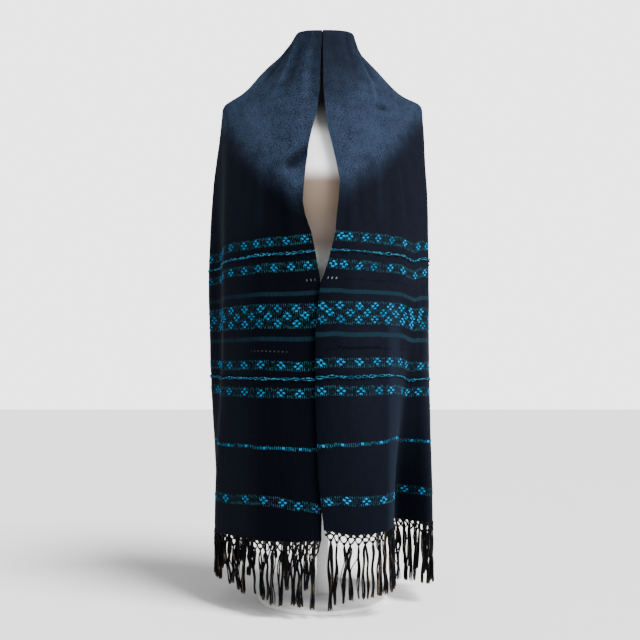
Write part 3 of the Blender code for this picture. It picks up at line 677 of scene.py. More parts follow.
def shell(name, sheet, pattern):
    """A thin closed shell inside a sheet's outer face."""
    rows, cols = sheet.across.shape
    count = rows * cols
    outer, inner = sheet.points, sheet.points - sheet.normals * CLOTH_THICKNESS
    index = np.arange(count).reshape(rows, cols)
    face = np.stack([index[:-1, :-1], index[1:, :-1], index[1:, 1:], index[:-1, 1:]], -1)
    face = face.reshape(-1, 4)
    ring = np.concatenate([index[0, :-1], index[:-1, -1], index[-1, :0:-1], index[:0:-1, 0]])
    after = np.roll(ring, -1)
    rim = np.stack([ring, after, after + count, ring + count], -1)
    if sheet.way > 0:
        face, rim = face[:, ::-1], rim[:, ::-1]
    looks = (("cloth", np.stack([sheet.across, sheet.along, pattern], -1).reshape(-1, 3)),
             ("above_break", sheet.above.ravel()),
             # the creases' rise, which the cloth's colour turns into painted light and shade
             ("relief", crease_rise(sheet.points).ravel() / RELIEF_UNIT))
    return new_mesh(name, np.concatenate([outer, inner]).reshape(-1, 3),
                    [face, face[:, ::-1] + count, rim],
                    [(title, np.concatenate([values, values])) for title, values in looks])


shawl_left = shell("shawl_left", left_sheet, pattern_height("left", left_sheet))
shawl_right = shell("shawl_right", right_sheet, pattern_height("right", right_sheet))
shawl_back = shell("shawl_back", middle_sheet, middle_sheet.along)


# ---------------- patches: cloth by its own measures

PATCH_STEP = 0.002
PATCH_SIZE = (0.72, 0.64)  # along the end, and across it
WIDTH_FROM = 0.3           # how far across a row is asked for its height when its width is taken


class Patch:
    """Looks up points of an end by the distance from its inner selvedge and above its hem."""

    def __init__(self, sheet):
        data = np.concatenate([sheet.points, sheet.normals, sheet.across[..., None]], axis=-1)
        self.rows, self.cols = (np.arange(0, size, PATCH_STEP) for size in PATCH_SIZE)
        lines = np.array([[np.interp(self.rows, along, values) for values in column.T]
                          for along, column in zip(sheet.along[::-1].T, data[::-1].swapaxes(0, 1))])
        self.widths = lines[:, 6].max(axis=0)
        self.table = np.array([[np.interp(self.cols, line[:, 6], line[:, k]) for k in range(6)]
                               for line in lines.transpose(2, 0, 1)]).swapaxes(1, 2)

    def width(self, along):
        return float(np.interp(along, self.rows, self.widths))

    def at(self, across, along):
        """Points and normals."""
        a = np.clip(np.asarray(along) / PATCH_STEP, 0, len(self.rows) - 1.001)
        b = np.clip(np.asarray(across) / PATCH_STEP, 0, len(self.cols) - 1.001)
        i, j = a.astype(int), b.astype(int)
        s, t = (a - i)[..., None], (b - j)[..., None]
        low, high = (self.table[i + k, j] * (1 - t) + self.table[i + k, j + 1] * t for k in (0, 1))
        found = low * (1 - s) + high * s
        return found[..., :3], unit(found[..., 3:])


PATCHES = {"left": Patch(left_sheet), "right": Patch(right_sheet)}


def rows_of(side, *kinds):
    """The pattern's rows of some kinds, each with how wide the cloth is there."""
    for band in BANDS:
        if band.kind in kinds:
            yield band, PATCHES[side].width(float(band_height(band, side, WIDTH_FROM)))


def ring_quads(rings, sides, first=0):
    """Faces between rings of points."""
    a = first + np.arange(rings - 1)[:, None] * sides + np.arange(sides)
    b = np.roll(a, -1, axis=1)
    return np.stack([a, a + sides, b + sides, b], -1).reshape(-1, 4)


def ball_faces(rings, sides):
    """Faces of rings with a point before the first and one after the last."""
    j = np.arange(sides)
    after, last = np.roll(j, -1), 1 + rings * sides
    low = last - sides
    tips = np.stack([0 * j, 1 + j, 1 + after, 0 * j + last, low + after, low + j], -1)
    return [ring_quads(rings, sides, 1), tips.reshape(-1, 3)]


def tube(points, radius, sides):
    """A closed tube along points, its frame carried along without twist."""
    radius = np.broadcast_to(radius, len(points))
    way = unit(np.gradient(points, axis=0))
    side = np.empty_like(points)
    first = np.cross(way[0], (0.0, 1.0, 0.0))
    if np.linalg.norm(first) < 1e-3:
        first = np.cross(way[0], (1.0, 0.0, 0.0))
    side[0] = unit(first)
    for k in range(1, len(points)):
        side[k] = side[k - 1] - way[k] * (side[k - 1] @ way[k])
        side[k] /= max(np.linalg.norm(side[k]), 1e-9)
    turn = (np.arange(sides) * TAU / sides)[:, None]
    ring = (points[:, None] + radius[:, None, None]
            * (np.cos(turn) * side[:, None] + np.sin(turn) * np.cross(way, side)[:, None]))
    quads = np.roll(ring_quads(len(points), sides)[:, ::-1], 1, axis=1)
    last = (len(points) - 1) * sides
    caps = np.stack([np.arange(sides)[::-1], last + np.arange(sides)])
    return ring.reshape(-1, 3), [quads, caps]


class Heap:
    """Gathers many small meshes into one, with a tint for each point."""

    def __init__(self):
        self.points, self.tints, self.faces, self.count = [], [], {}, 0

    def add(self, points, faces, tint):
        self.points.append(points)
        self.tints.append(np.broadcast_to(tint, len(points)))
        for group in faces:
            self.faces.setdefault(group.shape[1], []).append(group + self.count)
        self.count += len(points)

    def add_tube(self, path, radius, sides, tint):
        self.add(*tube(path, radius, sides), np.repeat(np.broadcast_to(tint, len(path)), sides))

    def make(self, name, sharp=60.0):
        faces = [np.concatenate(groups) for groups in self.faces.values()]
        return new_mesh(name, np.concatenate(self.points), faces,
                        [("tint", np.concatenate(self.tints))], sharp)


# ---------------- flowers and dashes

# Where the flowers of each row lie, in millimetres from the inner selvedge. Past the last of
# these they go on at an even pitch.
FLOWER_PITCH = {"left": 40.0, "right": 37.7}
FLOWERS = {
    "left": {
        0.068: (10, 46, 78, 116, 162, 218), 0.178: (9, 44, 78, 116, 162, 210),
        0.283: (10, 48, 84, 126, 168, 212), 0.3345: (10, 50, 86, 128, 170, 212),
        0.416: (16, 54, 92, 134, 170, 212), 0.4305: (36, 72, 114, 152, 194, 238),
        0.445: (20, 52, 92, 132, 172, 212), 0.5265: (20, 56, 98, 136, 176, 216),
        0.578: (16, 58, 102, 138, 176, 218)},
    "right": {
        0.068: (16, 52, 90, 126, 164, 202, 240, 278, 320), 0.178: (12, 50, 88, 128, 172, 210, 270),
        0.283: (12, 50, 88, 128, 156, 200, 232, 262), 0.3345: (10, 48, 86, 124, 154, 184, 212, 264),
        0.416: (12, 48, 84, 120, 154, 190, 224, 268), 0.4305: (24, 64, 102, 140, 172, 202, 228, 254),
        0.445: (10, 42, 82, 120, 158, 188, 222, 262), 0.5265: (12, 34, 70, 108, 154, 192, 240),
        0.578: (14, 32, 72, 108, 150, 196, 250)},
}
FLOWER_SEED = {"left": 21, "right": 22}
# how brightly each end's thread is painted: the left end's dimmer, as painted shade
THREAD_LIGHT = {"left": 0.74, "right": 1.0}
FLOWER_STRAY = (0.0008, 0.0005)                # how far a flower lies off its place and its row
WORN_FLOWERS = (0.14, 0.55)                    # part of the flowers worn dim, and how bright they are
STITCH_HALF_WIDTH = 0.00092
DASH_HALF_WIDTH = 0.00055
STITCH_HEIGHT = 0.0006
STITCH_SIDES = 6
STITCH_RINGS = ((-0.66, 0.86), (0.0, 1.0), (0.66, 0.86))     # part of half-length, part of width

# One flower, in millimetres across and along the cloth: each stitch's middle and half-length
PETALS = ((0.0, 5.0), (0.0, -5.0), (-5.5, 0.0), (5.5, 0.0))
PETAL_STITCHES = ((-2.2, 1.5), (-0.75, 2.5), (0.75, 2.5), (2.2, 1.5))
LINKS = ((-3.3, 3.0, 0.9), (3.3, 3.0, 0.9), (-3.3, -3.0, 0.9), (3.3, -3.0, 0.9))
# One unit of the dash line: the middles of its block of bright stitches, and of its dim dashes
BLOCK = (-1.5, -0.5, 0.5, 1.5)
DASHES = (-13.5, -11.0, -8.4, -5.6, 5.8, 8.4, 11.2, 15.0, 18.0)

STITCH_POINTS = np.array([(-1.0, 0.0, -0.35), *(
    (along, math.cos(turn) * wide, 0.35 + 0.75 * math.sin(turn) * wide)
    for along, wide in STITCH_RINGS for turn in np.arange(STITCH_SIDES) * TAU / STITCH_SIDES),
    (1.0, 0.0, -0.35)])
STITCH_FACES = ball_faces(len(STITCH_RINGS), STITCH_SIDES)


def lay_stitches(heap, patch, stitches):
    """stitches: across, along, half-length, half-width, tilt, tint in rows."""
    across, along, half, wide, tilt, tint = np.array(stitches).T[..., None]
    a, b, up = STITCH_POINTS.T
    a, b = a * half, b * wide
    point, normal = patch.at(across + a * np.sin(tilt) + b * np.cos(tilt),
                             along + a * np.cos(tilt) - b * np.sin(tilt))
    point = point + normal * (up * STITCH_HEIGHT / 0.75)[:, None]
    shift = (np.arange(len(stitches)) * len(STITCH_POINTS))[:, None, None]
    heap.add(point.reshape(-1, 3),
             [(faces + shift).reshape(-1, faces.shape[1]) for faces in STITCH_FACES],
             np.repeat(tint, len(STITCH_POINTS)))


def flower_stitches(rng, across, along, strength):
    """One brocaded flower: four petals of short stitches round a dark middle."""
    # strength is the end's painted light: the left end's flowers are painted in shade
    bright = rng.uniform(0.68, 1.0) * strength
    if rng.random() < WORN_FLOWERS[0]:
        bright *= WORN_FLOWERS[1]
    lean = rng.uniform(-0.1, 0.1)
    stitches = []

    def stitch(x, y, half):
        x, y = x + rng.uniform(-0.25, 0.25), y + rng.uniform(-0.3, 0.3)
        stitches.append((across + x * MM, along + (y + lean * x) * MM,
                         half * rng.uniform(0.85, 1.15) * MM, STITCH_HALF_WIDTH,
                         rng.uniform(-0.12, 0.12), bright * rng.uniform(0.5, 1.0)))

    for x, y in PETALS:
        for off, half in PETAL_STITCHES:
            stitch(x + off, y, half)
    for x, y, half in LINKS:
        if rng.random() < 0.35:
            stitch(x, y, half)
    if rng.random() < 0.45:
        way = rng.choice((-1, 1))
        stitch(8.6 * way, rng.choice((-2.4, 2.4)), 1.3)
    return stitches


def dash_stitches(rng, across, along, strength):
    """One unit of the dash line: a bright block, then thin dim dashes."""
    # strength is the end's painted light: the left end's dashes are painted in shade
    bright = rng.uniform(0.55, 0.75) * strength
    stitches = [(across + x * 1.35 * MM, along, rng.uniform(2.6, 3.2) * MM, STITCH_HALF_WIDTH, 0.0,
                 bright * rng.uniform(0.85, 1.0)) for x in BLOCK]
    return stitches + [
        (across + (x + rng.uniform(-0.4, 0.4)) * MM, along, rng.uniform(2.0, 2.9) * MM,
         DASH_HALF_WIDTH, 0.0, rng.uniform(0.12, 0.42)) for x in DASHES if rng.random() < 0.72]


def brocade(side):
    """The raised stitches of one end's rows."""
    rng = np.random.default_rng(FLOWER_SEED[side])
    stitches = []
    for band, width in rows_of(side, *BROCADED):
        make = dash_stitches if band.kind == "dashes" else flower_stitches
        seen = FLOWERS[side][band.pattern]
        beyond = np.arange(seen[-1], width * 1000 - 10, FLOWER_PITCH[side])[1:]
        for across in (*seen, *beyond):
            across = across / 1000 + rng.uniform(-FLOWER_STRAY[0], FLOWER_STRAY[0])
            along = (float(band_height(band, side, across))
                     + rng.uniform(-FLOWER_STRAY[1], FLOWER_STRAY[1]))
            stitches += make(rng, across, along, THREAD_LIGHT[side])
    heap = Heap()
    lay_stitches(heap, PATCHES[side], stitches)
    return heap.make("brocade_" + side)


brocade_left, brocade_right = brocade("left"), brocade("right")


# ---------------- looped cords across the ends

CORD_RADIUS = 0.00112
CORD_STEP = 0.0013
CORD_SWING = 0.0022        # how far the two yarns part in a loop
CORD_LOOP = 0.02           # length of a loop
CORD_PROUD = 0.0016
CORD_SIDES = 6
CORD_SEED = {"left": 31, "right": 32}


def looped_cord(side):
    """Two yarns that cross and part again, laid along each chain row and caught down at its ends."""
    rng = np.random.default_rng(CORD_SEED[side])
    heap = Heap()
    for band, width in rows_of(side, "chain"):
        across = np.arange(0.0, width - 0.004, CORD_STEP)

        def unevenness(size):
            return noise(across, across * 0 + rng.uniform(0, 9), size, 1.0)

        phase = np.cumsum(1 + 0.7 * unevenness(0.03)) * CORD_STEP * math.pi / CORD_LOOP
        open_part = 0.62 + 0.75 * unevenness(0.016)
        drift = 0.0012 * unevenness(0.05)
        for turn in (0.0, math.pi):
            along = (band_height(band, side, across) + drift
                     + CORD_SWING * open_part * np.sin(phase + turn))
            point, normal = PATCHES[side].at(across, along)
            # each loop is caught down under the cloth's face where the two yarns cross
            proud = CORD_PROUD * (1.9 * np.abs(np.sin(phase)) ** 0.6 - 0.75)
            fleck = unevenness(0.007)
            covered = smooth(1.5 * np.sin(across * TAU / 0.0085 + 3 * fleck + turn + phase) + 1.0)
            shade = np.clip(0.62 + 1.3 * fleck, 0.15, 1.0) * covered + 0.02
            radius = CORD_RADIUS * (1 + 0.12 * np.sin(phase * 5 + turn))
            heap.add_tube(point + normal * proud[:, None], radius, CORD_SIDES, shade)
    return heap.make("looped_cord_" + side)


cord_left, cord_right = looped_cord("left"), looped_cord("right")


# ---------------- knotted fringe

KNOT_PITCH = 0.0142
KNOT_DEPTHS = (0.0034, 0.0086, 0.0172)
KNOT_SIZE = np.array((0.003, 0.0024, 0.0028))
TIE_SIZE = np.array((0.0036, 0.0026, 0.0024))
ROOTS = (-0.0052, -0.0019, 0.0019, 0.0052)      # where a knot's yarns leave the hem
HEM_MARGIN = 0.006         # the part of the hem's width without knots
YARN_RADIUS = 0.00112
YARN_SIDES = 5
YARN_RINGS = 22
LINK_RINGS = 7
LINK_PART = 0.00085        # how far a link's yarns lie off its middle
TIPS = {"left": ((0.0, 0.016), (0.02, 0.018), (0.05, 0.03), (0.08, 0.026), (0.12, 0.038),
                 (0.17, 0.042), (0.2, 0.056), (0.56, 0.048)),
        "right": ((0.0, 0.017), (0.02, 0.02), (0.04, 0.034), (0.08, 0.037), (0.12, 0.049),
                  (0.15, 0.046), (0.18, 0.04), (0.56, 0.046))}
# stretches of a hem where the tassels hang thick: from, to, and how many yarns more
THICK = {"left": ((0.0, 0.072, 6), (0.15, 0.185, 4)), "right": ((0.104, 0.14, 7),)}
SHORT_PART = 0.2           # part of the tassels broken off short
TIED_PART = 0.12           # part of them caught to the next one
FORKED_PART = 0.4          # part of them that open in two on the way down
CROSSING_PART = 0.03       # part of the yarns that cross over to another tassel
PALE_PART = 0.4            # part of the yarns with a faded stretch
LOOSE_PART = 0.6           # part of the yarns of a thick tassel that hang straight from the hem
CORNER_PULL = {"left": 0.012, "right": 0.005}      # how far the inner corner's knots are drawn in
FRINGE_SEED = {"left": 41, "right": 42}


def blob(centre, size, way, out, sides=6, rows=4):
    """A small knot: a squashed ball."""
    up = -DOWN * size[2]
    points = [centre + math.sin(tilt) * (math.cos(turn) * size[0] * way
                                         + math.sin(turn) * size[1] * out) + math.cos(tilt) * up
              for tilt in [math.pi * r / rows for r in range(1, rows)]
              for turn in [TAU * j / sides for j in range(sides)]]
    return np.array([centre + up, *points, centre - up]), ball_faces(rows - 1, sides)


def fringe(side):
    """One end's fringe: yarns knotted in rows under the hem, and the tassels below them."""
    rng = np.random.default_rng(FRINGE_SEED[side])
    heap = Heap()
    steps = np.linspace(0, 1, YARN_RINGS)

    def ripple(low, high):
        return np.sin(steps * rng.uniform(low, high) + rng.uniform(0, TAU))

    def hem(across):
        """The middle of the hem's edge, the way along it and the way out of it, both level."""
        across = float(np.clip(across, 0.0012, CLOTH_WIDTH - 0.004))
        point, normal = PATCHES[side].at(across, 0.0)
        after, before = (PATCHES[side].at(across + step, 0.0)[0] for step in (0.003, -0.001))
        return (point - normal * CLOTH_THICKNESS / 2, unit((after - before) * LEVEL),
                unit(normal * LEVEL))

    def knot(across, depth, size=1.0, jitter=1.0):
        lean = CORNER_PULL[side] * depth / KNOT_DEPTHS[-1] * math.exp(-across / 0.035)
        point, way, out = hem(across + lean)
        point = (point + DOWN * (depth + rng.uniform(-0.0018, 0.0018) * jitter)
                 + way * rng.uniform(-0.0022, 0.0022) * jitter
                 + out * rng.uniform(-0.0008, 0.0008) * jitter)
        if size:
            heap.add(*blob(point, KNOT_SIZE * rng.uniform(0.85, 1.2) * size, way, out), 0.0)
        return point, way, out, across

    def link(a, b, bow):
        """Two yarns side by side from knot to knot, bowed so that the hole beside them is round."""
        part = np.linspace(0, 1, LINK_RINGS)[:, None]
        line = a[0] + (b[0] - a[0]) * part + DOWN * bow * 4 * part * (1 - part)
        turn = rng.uniform(0, TAU) + 2.2 * part
        for half in (-1, 1):
            heap.add_tube(line + half * LINK_PART * (np.cos(turn) * DOWN + np.sin(turn) * a[2]),
                          YARN_RADIUS * rng.uniform(0.9, 1.15), YARN_SIDES, rng.uniform(0, 0.25))

    def tassel_line(start, way, out, across):
        """The middle of a tassel, from its knot to its tip."""
        tip = np.interp(across, *zip(*TIPS[side])) + rng.uniform(-0.005, 0.004)
        if rng.random() < SHORT_PART:
            tip += rng.uniform(0.018, 0.05)
        length = start[2] - tip
        wave = rng.uniform(0.0003, 0.0013) * np.sin(
            steps * length / rng.uniform(0.05, 0.09) * TAU + rng.uniform(0, TAU))
        sway = (wave * smooth(steps * 4) + rng.normal(0, 0.0022) * steps**1.3)[:, None] * way
        depth = (rng.normal(0, 0.003) * steps)[:, None] * out
        return start + DOWN * (steps * length)[:, None] + sway + depth

    def tie(i):
        """Draws two tassels together where a thread has caught them."""
        place = rng.uniform(0.25, 0.75)
        pull = np.exp(-(((steps - place) / 0.16) ** 2))[:, None] * 0.36
        gap = lines[i + 1] - lines[i]
        lines[i], lines[i + 1] = lines[i] + gap * pull, lines[i + 1] - gap * pull
        at = np.array([np.interp(place, steps, column)
                       for column in ((lines[i] + lines[i + 1]) / 2).T])
        heap.add(*blob(at, TIE_SIZE, *lower[i][1:3], 8, 5), 0.0)

    def yarn(i, offset, thick):
        """One yarn of a tassel, offset from its middle."""
        start, way, out, across = lower[i]
        wander = 0.0007 * ripple(5, 14) * smooth(steps * 5)
        deep = rng.uniform(-0.0016, 0.0016) * smooth(steps * 5) + wander[::-1]
        path = lines[i] + (offset + wander)[:, None] * way + deep[:, None] * out
        if rng.random() < CROSSING_PART and 0 < i < count - 1:
            other = lines[i + int(rng.choice((-1, 1)))]
            crossing = smooth((steps - rng.uniform(0.1, 0.4)) * 2.5)[:, None]
            path = path + (other - lines[i]) * crossing
        if thick and rng.random() < LOOSE_PART:
            # a loose yarn, past the knots, straight from the hem
            root = hem(across + rng.uniform(-0.5, 0.5) * pitch)[0]
            path[0] = root + out * 0.0015
            path[1:5] += (root - start) * (1 - steps[1:5, None] * 5) * LEVEL
        path = through(path, steps * (YARN_RINGS - 1) * rng.uniform(0.955, 1.0))
        radius = YARN_RADIUS * rng.uniform(0.85, 1.25) * (1 - 0.4 * smooth((steps - 0.96) / 0.04))
        fade = 0.8 * rng.uniform(0.1, 1.0) * smooth((steps - 0.9) / 0.1)
        if rng.random() < PALE_PART:
            fade = fade + rng.uniform(0.5, 1.0) * np.exp(
                -(((steps - rng.uniform(0, 0.9)) / rng.uniform(0.06, 0.2)) ** 2))
        heap.add_tube(path, radius, YARN_SIDES, np.clip(fade, 0, 1))

    def tassel(i):
        """The yarns of one tassel, spread side by side and some of them forked."""
        across = lower[i][3]
        thick = sum(more for low, high, more in THICK[side] if low <= across <= high)
        yarns = int(rng.integers(6, 10)) + thick
        half = rng.uniform(0.00042, 0.00062) * min(yarns, 10)
        opening = half * smooth(steps * 9) * (0.85 + 0.3 * ripple(4, 8))
        fork = 0.0
        if rng.random() < FORKED_PART:
            low, high = rng.uniform(0.0, 0.25), rng.choice((0.55, 0.8, 1.6))
            fork = (rng.uniform(0.0012, 0.0028) * smooth((steps - low) * 5)
                    * smooth((high - steps) * 4))
        for j in range(yarns):
            place = (j + 0.5) / yarns * 2 - 1 + rng.normal(0, 0.12)
            yarn(i, opening * place + fork * np.sign(place), thick)

    count = round((CLOTH_WIDTH - HEM_MARGIN) / KNOT_PITCH)
    pitch = (CLOTH_WIDTH - HEM_MARGIN) / count
    centres = (np.arange(count) + 0.5) * pitch + 0.002
    edges = np.arange(count + 1) * pitch + 0.002
    upper = [knot(across, KNOT_DEPTHS[0]) for across in centres]
    middle = [knot(across, KNOT_DEPTHS[1]) for across in edges]
    lower = [knot(across, KNOT_DEPTHS[2], 1.1) for across in centres]
    for i in range(count):
        for root in ROOTS:
            link(knot(centres[i] + root, -0.001, 0, 0.4), upper[i], 0.0)
        for k in (i, i + 1):
            link(upper[i], middle[k], -0.0012)
            link(middle[k], lower[i], 0.0022)
    lines = [tassel_line(*end) for end in lower]
    for i in range(count - 1):
        if rng.random() < TIED_PART:
            tie(i)
    for i in range(count):
        tassel(i)
    return heap.make("fringe_" + side, sharp=0)


fringe_left, fringe_right = fringe("left"), fringe("right")


# ---------------- the form

FORM_SIDES = 112
FORM_ROWS = 150


def make_form():
    """The dress form: rings up its table, with the lowest edge rounded."""
    rows = through(FORM, np.linspace(0, len(FORM) - 1, FORM_ROWS))
    edge = [rows[-1] - FORM_EDGE * np.array([math.sin(bend), *[1 - math.cos(bend)] * 3, 0])
            for bend in np.radians(np.arange(10, 91, 10))]
    turn = np.linspace(0, TAU, FORM_SIDES, endpoint=False)
    across, along = np.sin(turn), -np.cos(turn)
    rings = []
    for height, half_width, front, back, square in [*rows, *edge]:
        x = half_width * np.sign(across) * np.abs(across) ** (2 / square)
        y = np.where(along < 0, front, back) * np.sign(along) * np.abs(along) ** (2 / square)
        rings.append(np.stack([x, y, np.full_like(x, height)], -1))
    last = (len(rings) - 1) * FORM_SIDES
    caps = np.stack([np.arange(FORM_SIDES), last + np.arange(FORM_SIDES)[::-1]])
    return new_mesh("dress_form", np.concatenate(rings),
                    [ring_quads(len(rings), FORM_SIDES), caps], sharp=50)


dress_form = make_form()


# ---------------- materials

class Value:
    """What a node's socket gives, with plain arithmetic on it."""

    def __init__(self, look, socket):
        self.look, self.socket = look, socket

    def math(self, operation, other=0.5):
        return self.look.math(operation, self, other)

    def __add__(self, other):
        return self.math("ADD", other)

    def __sub__(self, other):
        return self.math("SUBTRACT", other)

    def __rsub__(self, other):
        return self.look.math("SUBTRACT", other, self)

    def __mul__(self, other):
        return self.math("MULTIPLY", other)

    def most(self, other):
        """The greater of the two."""
        return self.math("MAXIMUM", other)

    def wave(self, period):
        """A sine that repeats at each period."""
        return (self * (TAU / period)).math("SINE")

    def between(self, low, high):
        """0 below low, 1 above high, smooth between."""
        return self.look.node("MapRange", {0: self, 1: low, 2: high}, interpolation_type="SMOOTHSTEP")

    def near(self, centre, half, soft):
        """1 within half of centre, 0 beyond half plus soft."""
        return 1.0 - (self - centre).math("ABSOLUTE").between(half, half + soft)


class Look:
    """A material, with short calls for the few kinds of node used here."""

    def __init__(self, name):
        self.material = bpy.data.materials.new(name)
        self.material.use_nodes = True
        self.tree = self.material.node_tree

    def plug(self, node, inputs):
        for key, value in inputs.items():
            socket = node.inputs[key]
            if isinstance(value, Value):
                self.tree.links.new(value.socket, socket)
            else:
                socket.default_value = (*value, 1.0) if socket.type == "RGBA" else value

    def node(self, kind, inputs=(), output=0, **settings):
        node = self.tree.nodes.new("ShaderNode" + kind)
        for title, value in settings.items():
            setattr(node, title, value)
        self.plug(node, dict(inputs))
        return Value(self, node.outputs[output])

    def math(self, operation, a, b):
        return self.node("Math", {0: a, 1: b}, operation=operation)

    def mix(self, part, a, b):
        return self.node("Mix", {"Factor": part, 6: a, 7: b}, 2, data_type="RGBA")

    def noise(self, measures, detail=2.0, rough=0.5, scale=1.0):
        """Soft noise over two or three measures."""
        return self.node("TexNoise", {"Vector": self.node("CombineXYZ", enumerate(measures)),
                                      "Scale": scale, "Detail": detail, "Roughness": rough})

    def attribute(self, name):
        return self.node("Attribute", output="Fac", attribute_name=name)

    def parts(self, kind, output, **settings):
        """The three parts of a node's output."""
        split = self.tree.nodes.new("ShaderNodeSeparateXYZ")
        self.plug(split, {0: self.node(kind, output=output, **settings)})
        return [Value(self, socket) for socket in split.outputs]

    def place(self):
        return self.parts("TexCoord", "Object")

    def bump(self, height, distance, strength):
        return self.node("Bump", {"Strength": strength, "Distance": distance, "Height": height})

    def finish(self, **inputs):
        self.plug(self.tree.nodes["Principled BSDF"],
                  {title.replace("_", " "): value for title, value in inputs.items()})
        return self.material


NIGHT = (0.0014, 0.0024, 0.0062)
INK = (0.0002, 0.0003, 0.0012)
# the navy under the painted light on the ends
LIT_NIGHT = (0.0046, 0.0056, 0.0105)
# the navy in painted light: on the yoke, the creases' ridges and the right end's fold
LIT_CLOTH = (0.0225, 0.0365, 0.067)
DIM_TEAL = (0.003, 0.013, 0.02)
TEAL = (0.005, 0.03, 0.048)
CYAN = (0.0005, 0.23, 0.52)
STRIPE_TEAL = (0.0052, 0.02, 0.03)
TICK_TEAL = (0.009, 0.068, 0.088)
DARK_CORD, PALE_CORD = (0.003, 0.014, 0.026), (0.022, 0.14, 0.23)
DARK_FRINGE, PALE_FRINGE = (0.0016, 0.0018, 0.0028), (0.2, 0.15, 0.105)
SLIT_DARK = (0.0004, 0.0005, 0.0008)
BEAD_PALE = (0.045, 0.04, 0.05)
ZIGZAG_DARK = (0.0003, 0.0003, 0.0006)
HOLE_PALE = (0.16, 0.16, 0.17)
BLUE_SHEEN = (0.5, 0.66, 1.0)
LOW_SLITS, HIGH_SLITS = 0.363, 0.498       # the two rows of openwork, in the pattern


def jaspe_and_painted_light(look, across, along, streak):
    """The cloth's colour: its jaspe, with painted light and shade: the yoke lit down to its break,
    the ends paler where light falls and darker in painted shadow, and the creases lit and shaded.
    """
    x, y, z = look.place()
    relief = look.attribute("relief")
    # the jaspe: fine streaks along the rows, a fainter rib down the warp, and soft blotches
    rib = look.noise((across * 950.0, along * 14.0), 2.0, 0.6)
    blotch = look.noise((across * 62.0, along * 70.0), 3.0, 0.6)
    cloud = look.noise((across, along), scale=22.0)
    base = look.mix((rib * 0.4 + streak * 0.6).between(0.38, 0.62), INK, NIGHT)
    # painted light: the right end paler than the left, more so higher up, as the light falls from the
    # right and above; the blotches mottle it
    painted_light = x.between(-0.03, 0.07) * (blotch * 0.6 + 0.4) * (z.between(0.2, 0.48) * 0.45 + 0.55)
    # painted shade in the hollow beside the right end's long fold
    hollow = x.near(0.18, 0.008, 0.022) * z.between(0.34, 0.44) * z.between(0.66, 0.58)
    painted_light = painted_light * (hollow * -0.7 + 1.0)
    # painted light on the left end round its side, and painted shadow of the right end darkening the
    # left end beside the opening
    painted_light = painted_light.most(x.near(-0.205, 0.035, 0.06) * 0.36)
    opening_shadow = x.near(-0.045, 0.045, 0.08) * x.between(0.03, -0.03)
    base = look.mix(opening_shadow * 0.6, base, INK)
    # painted light from above on the upper ends, except in the painted shadow beside the opening
    painted_light = painted_light.most(z.between(0.6, 0.8) * (opening_shadow * -0.62 + 0.62))
    base = look.mix(painted_light, base, LIT_NIGHT)
    # painted light: the yoke, which faces up, paler down to its break, clouded
    yoke = ((cloud - 0.5) * 0.03 + look.attribute("above_break")).between(-0.066, 0.026)
    # painted shade darkening the yoke up the collar
    yoke = yoke * (1.0 - z.between(0.98, 1.17) * 0.5) * (cloud.between(0.3, 0.7) * 0.35 + 0.8)
    # painted shade where both ends meet below the neck in front, in the folds beside the opening
    neck_shade = x.near(0.022, 0.024, 0.04) * z.between(0.985, 1.05) * y.between(0.02, -0.02)
    yoke = yoke * (neck_shade * -0.48 + 1.0)
    tone = streak * 0.85 + blotch * 0.15
    yoke_light = (tone.between(0.445, 0.565) * 0.92 + 0.2) * yoke
    # painted light on the creases' ridges and painted shade in their hollows
    colour = look.mix(yoke_light * (relief * 0.6 + 1.0).most(0.2), base, LIT_CLOTH)
    ridge_light = relief.between(0.0, 1.2) * tone.between(0.35, 0.65)
    colour = look.mix(ridge_light * 0.12, colour, LIT_CLOTH)
    # painted highlight along the ridge of the right end's long fold
    fold_highlight = x.near(0.141, 0.004, 0.014) * z.between(0.66, 0.56)
    return look.mix(fold_highlight * 0.13, colour, LIT_CLOTH)


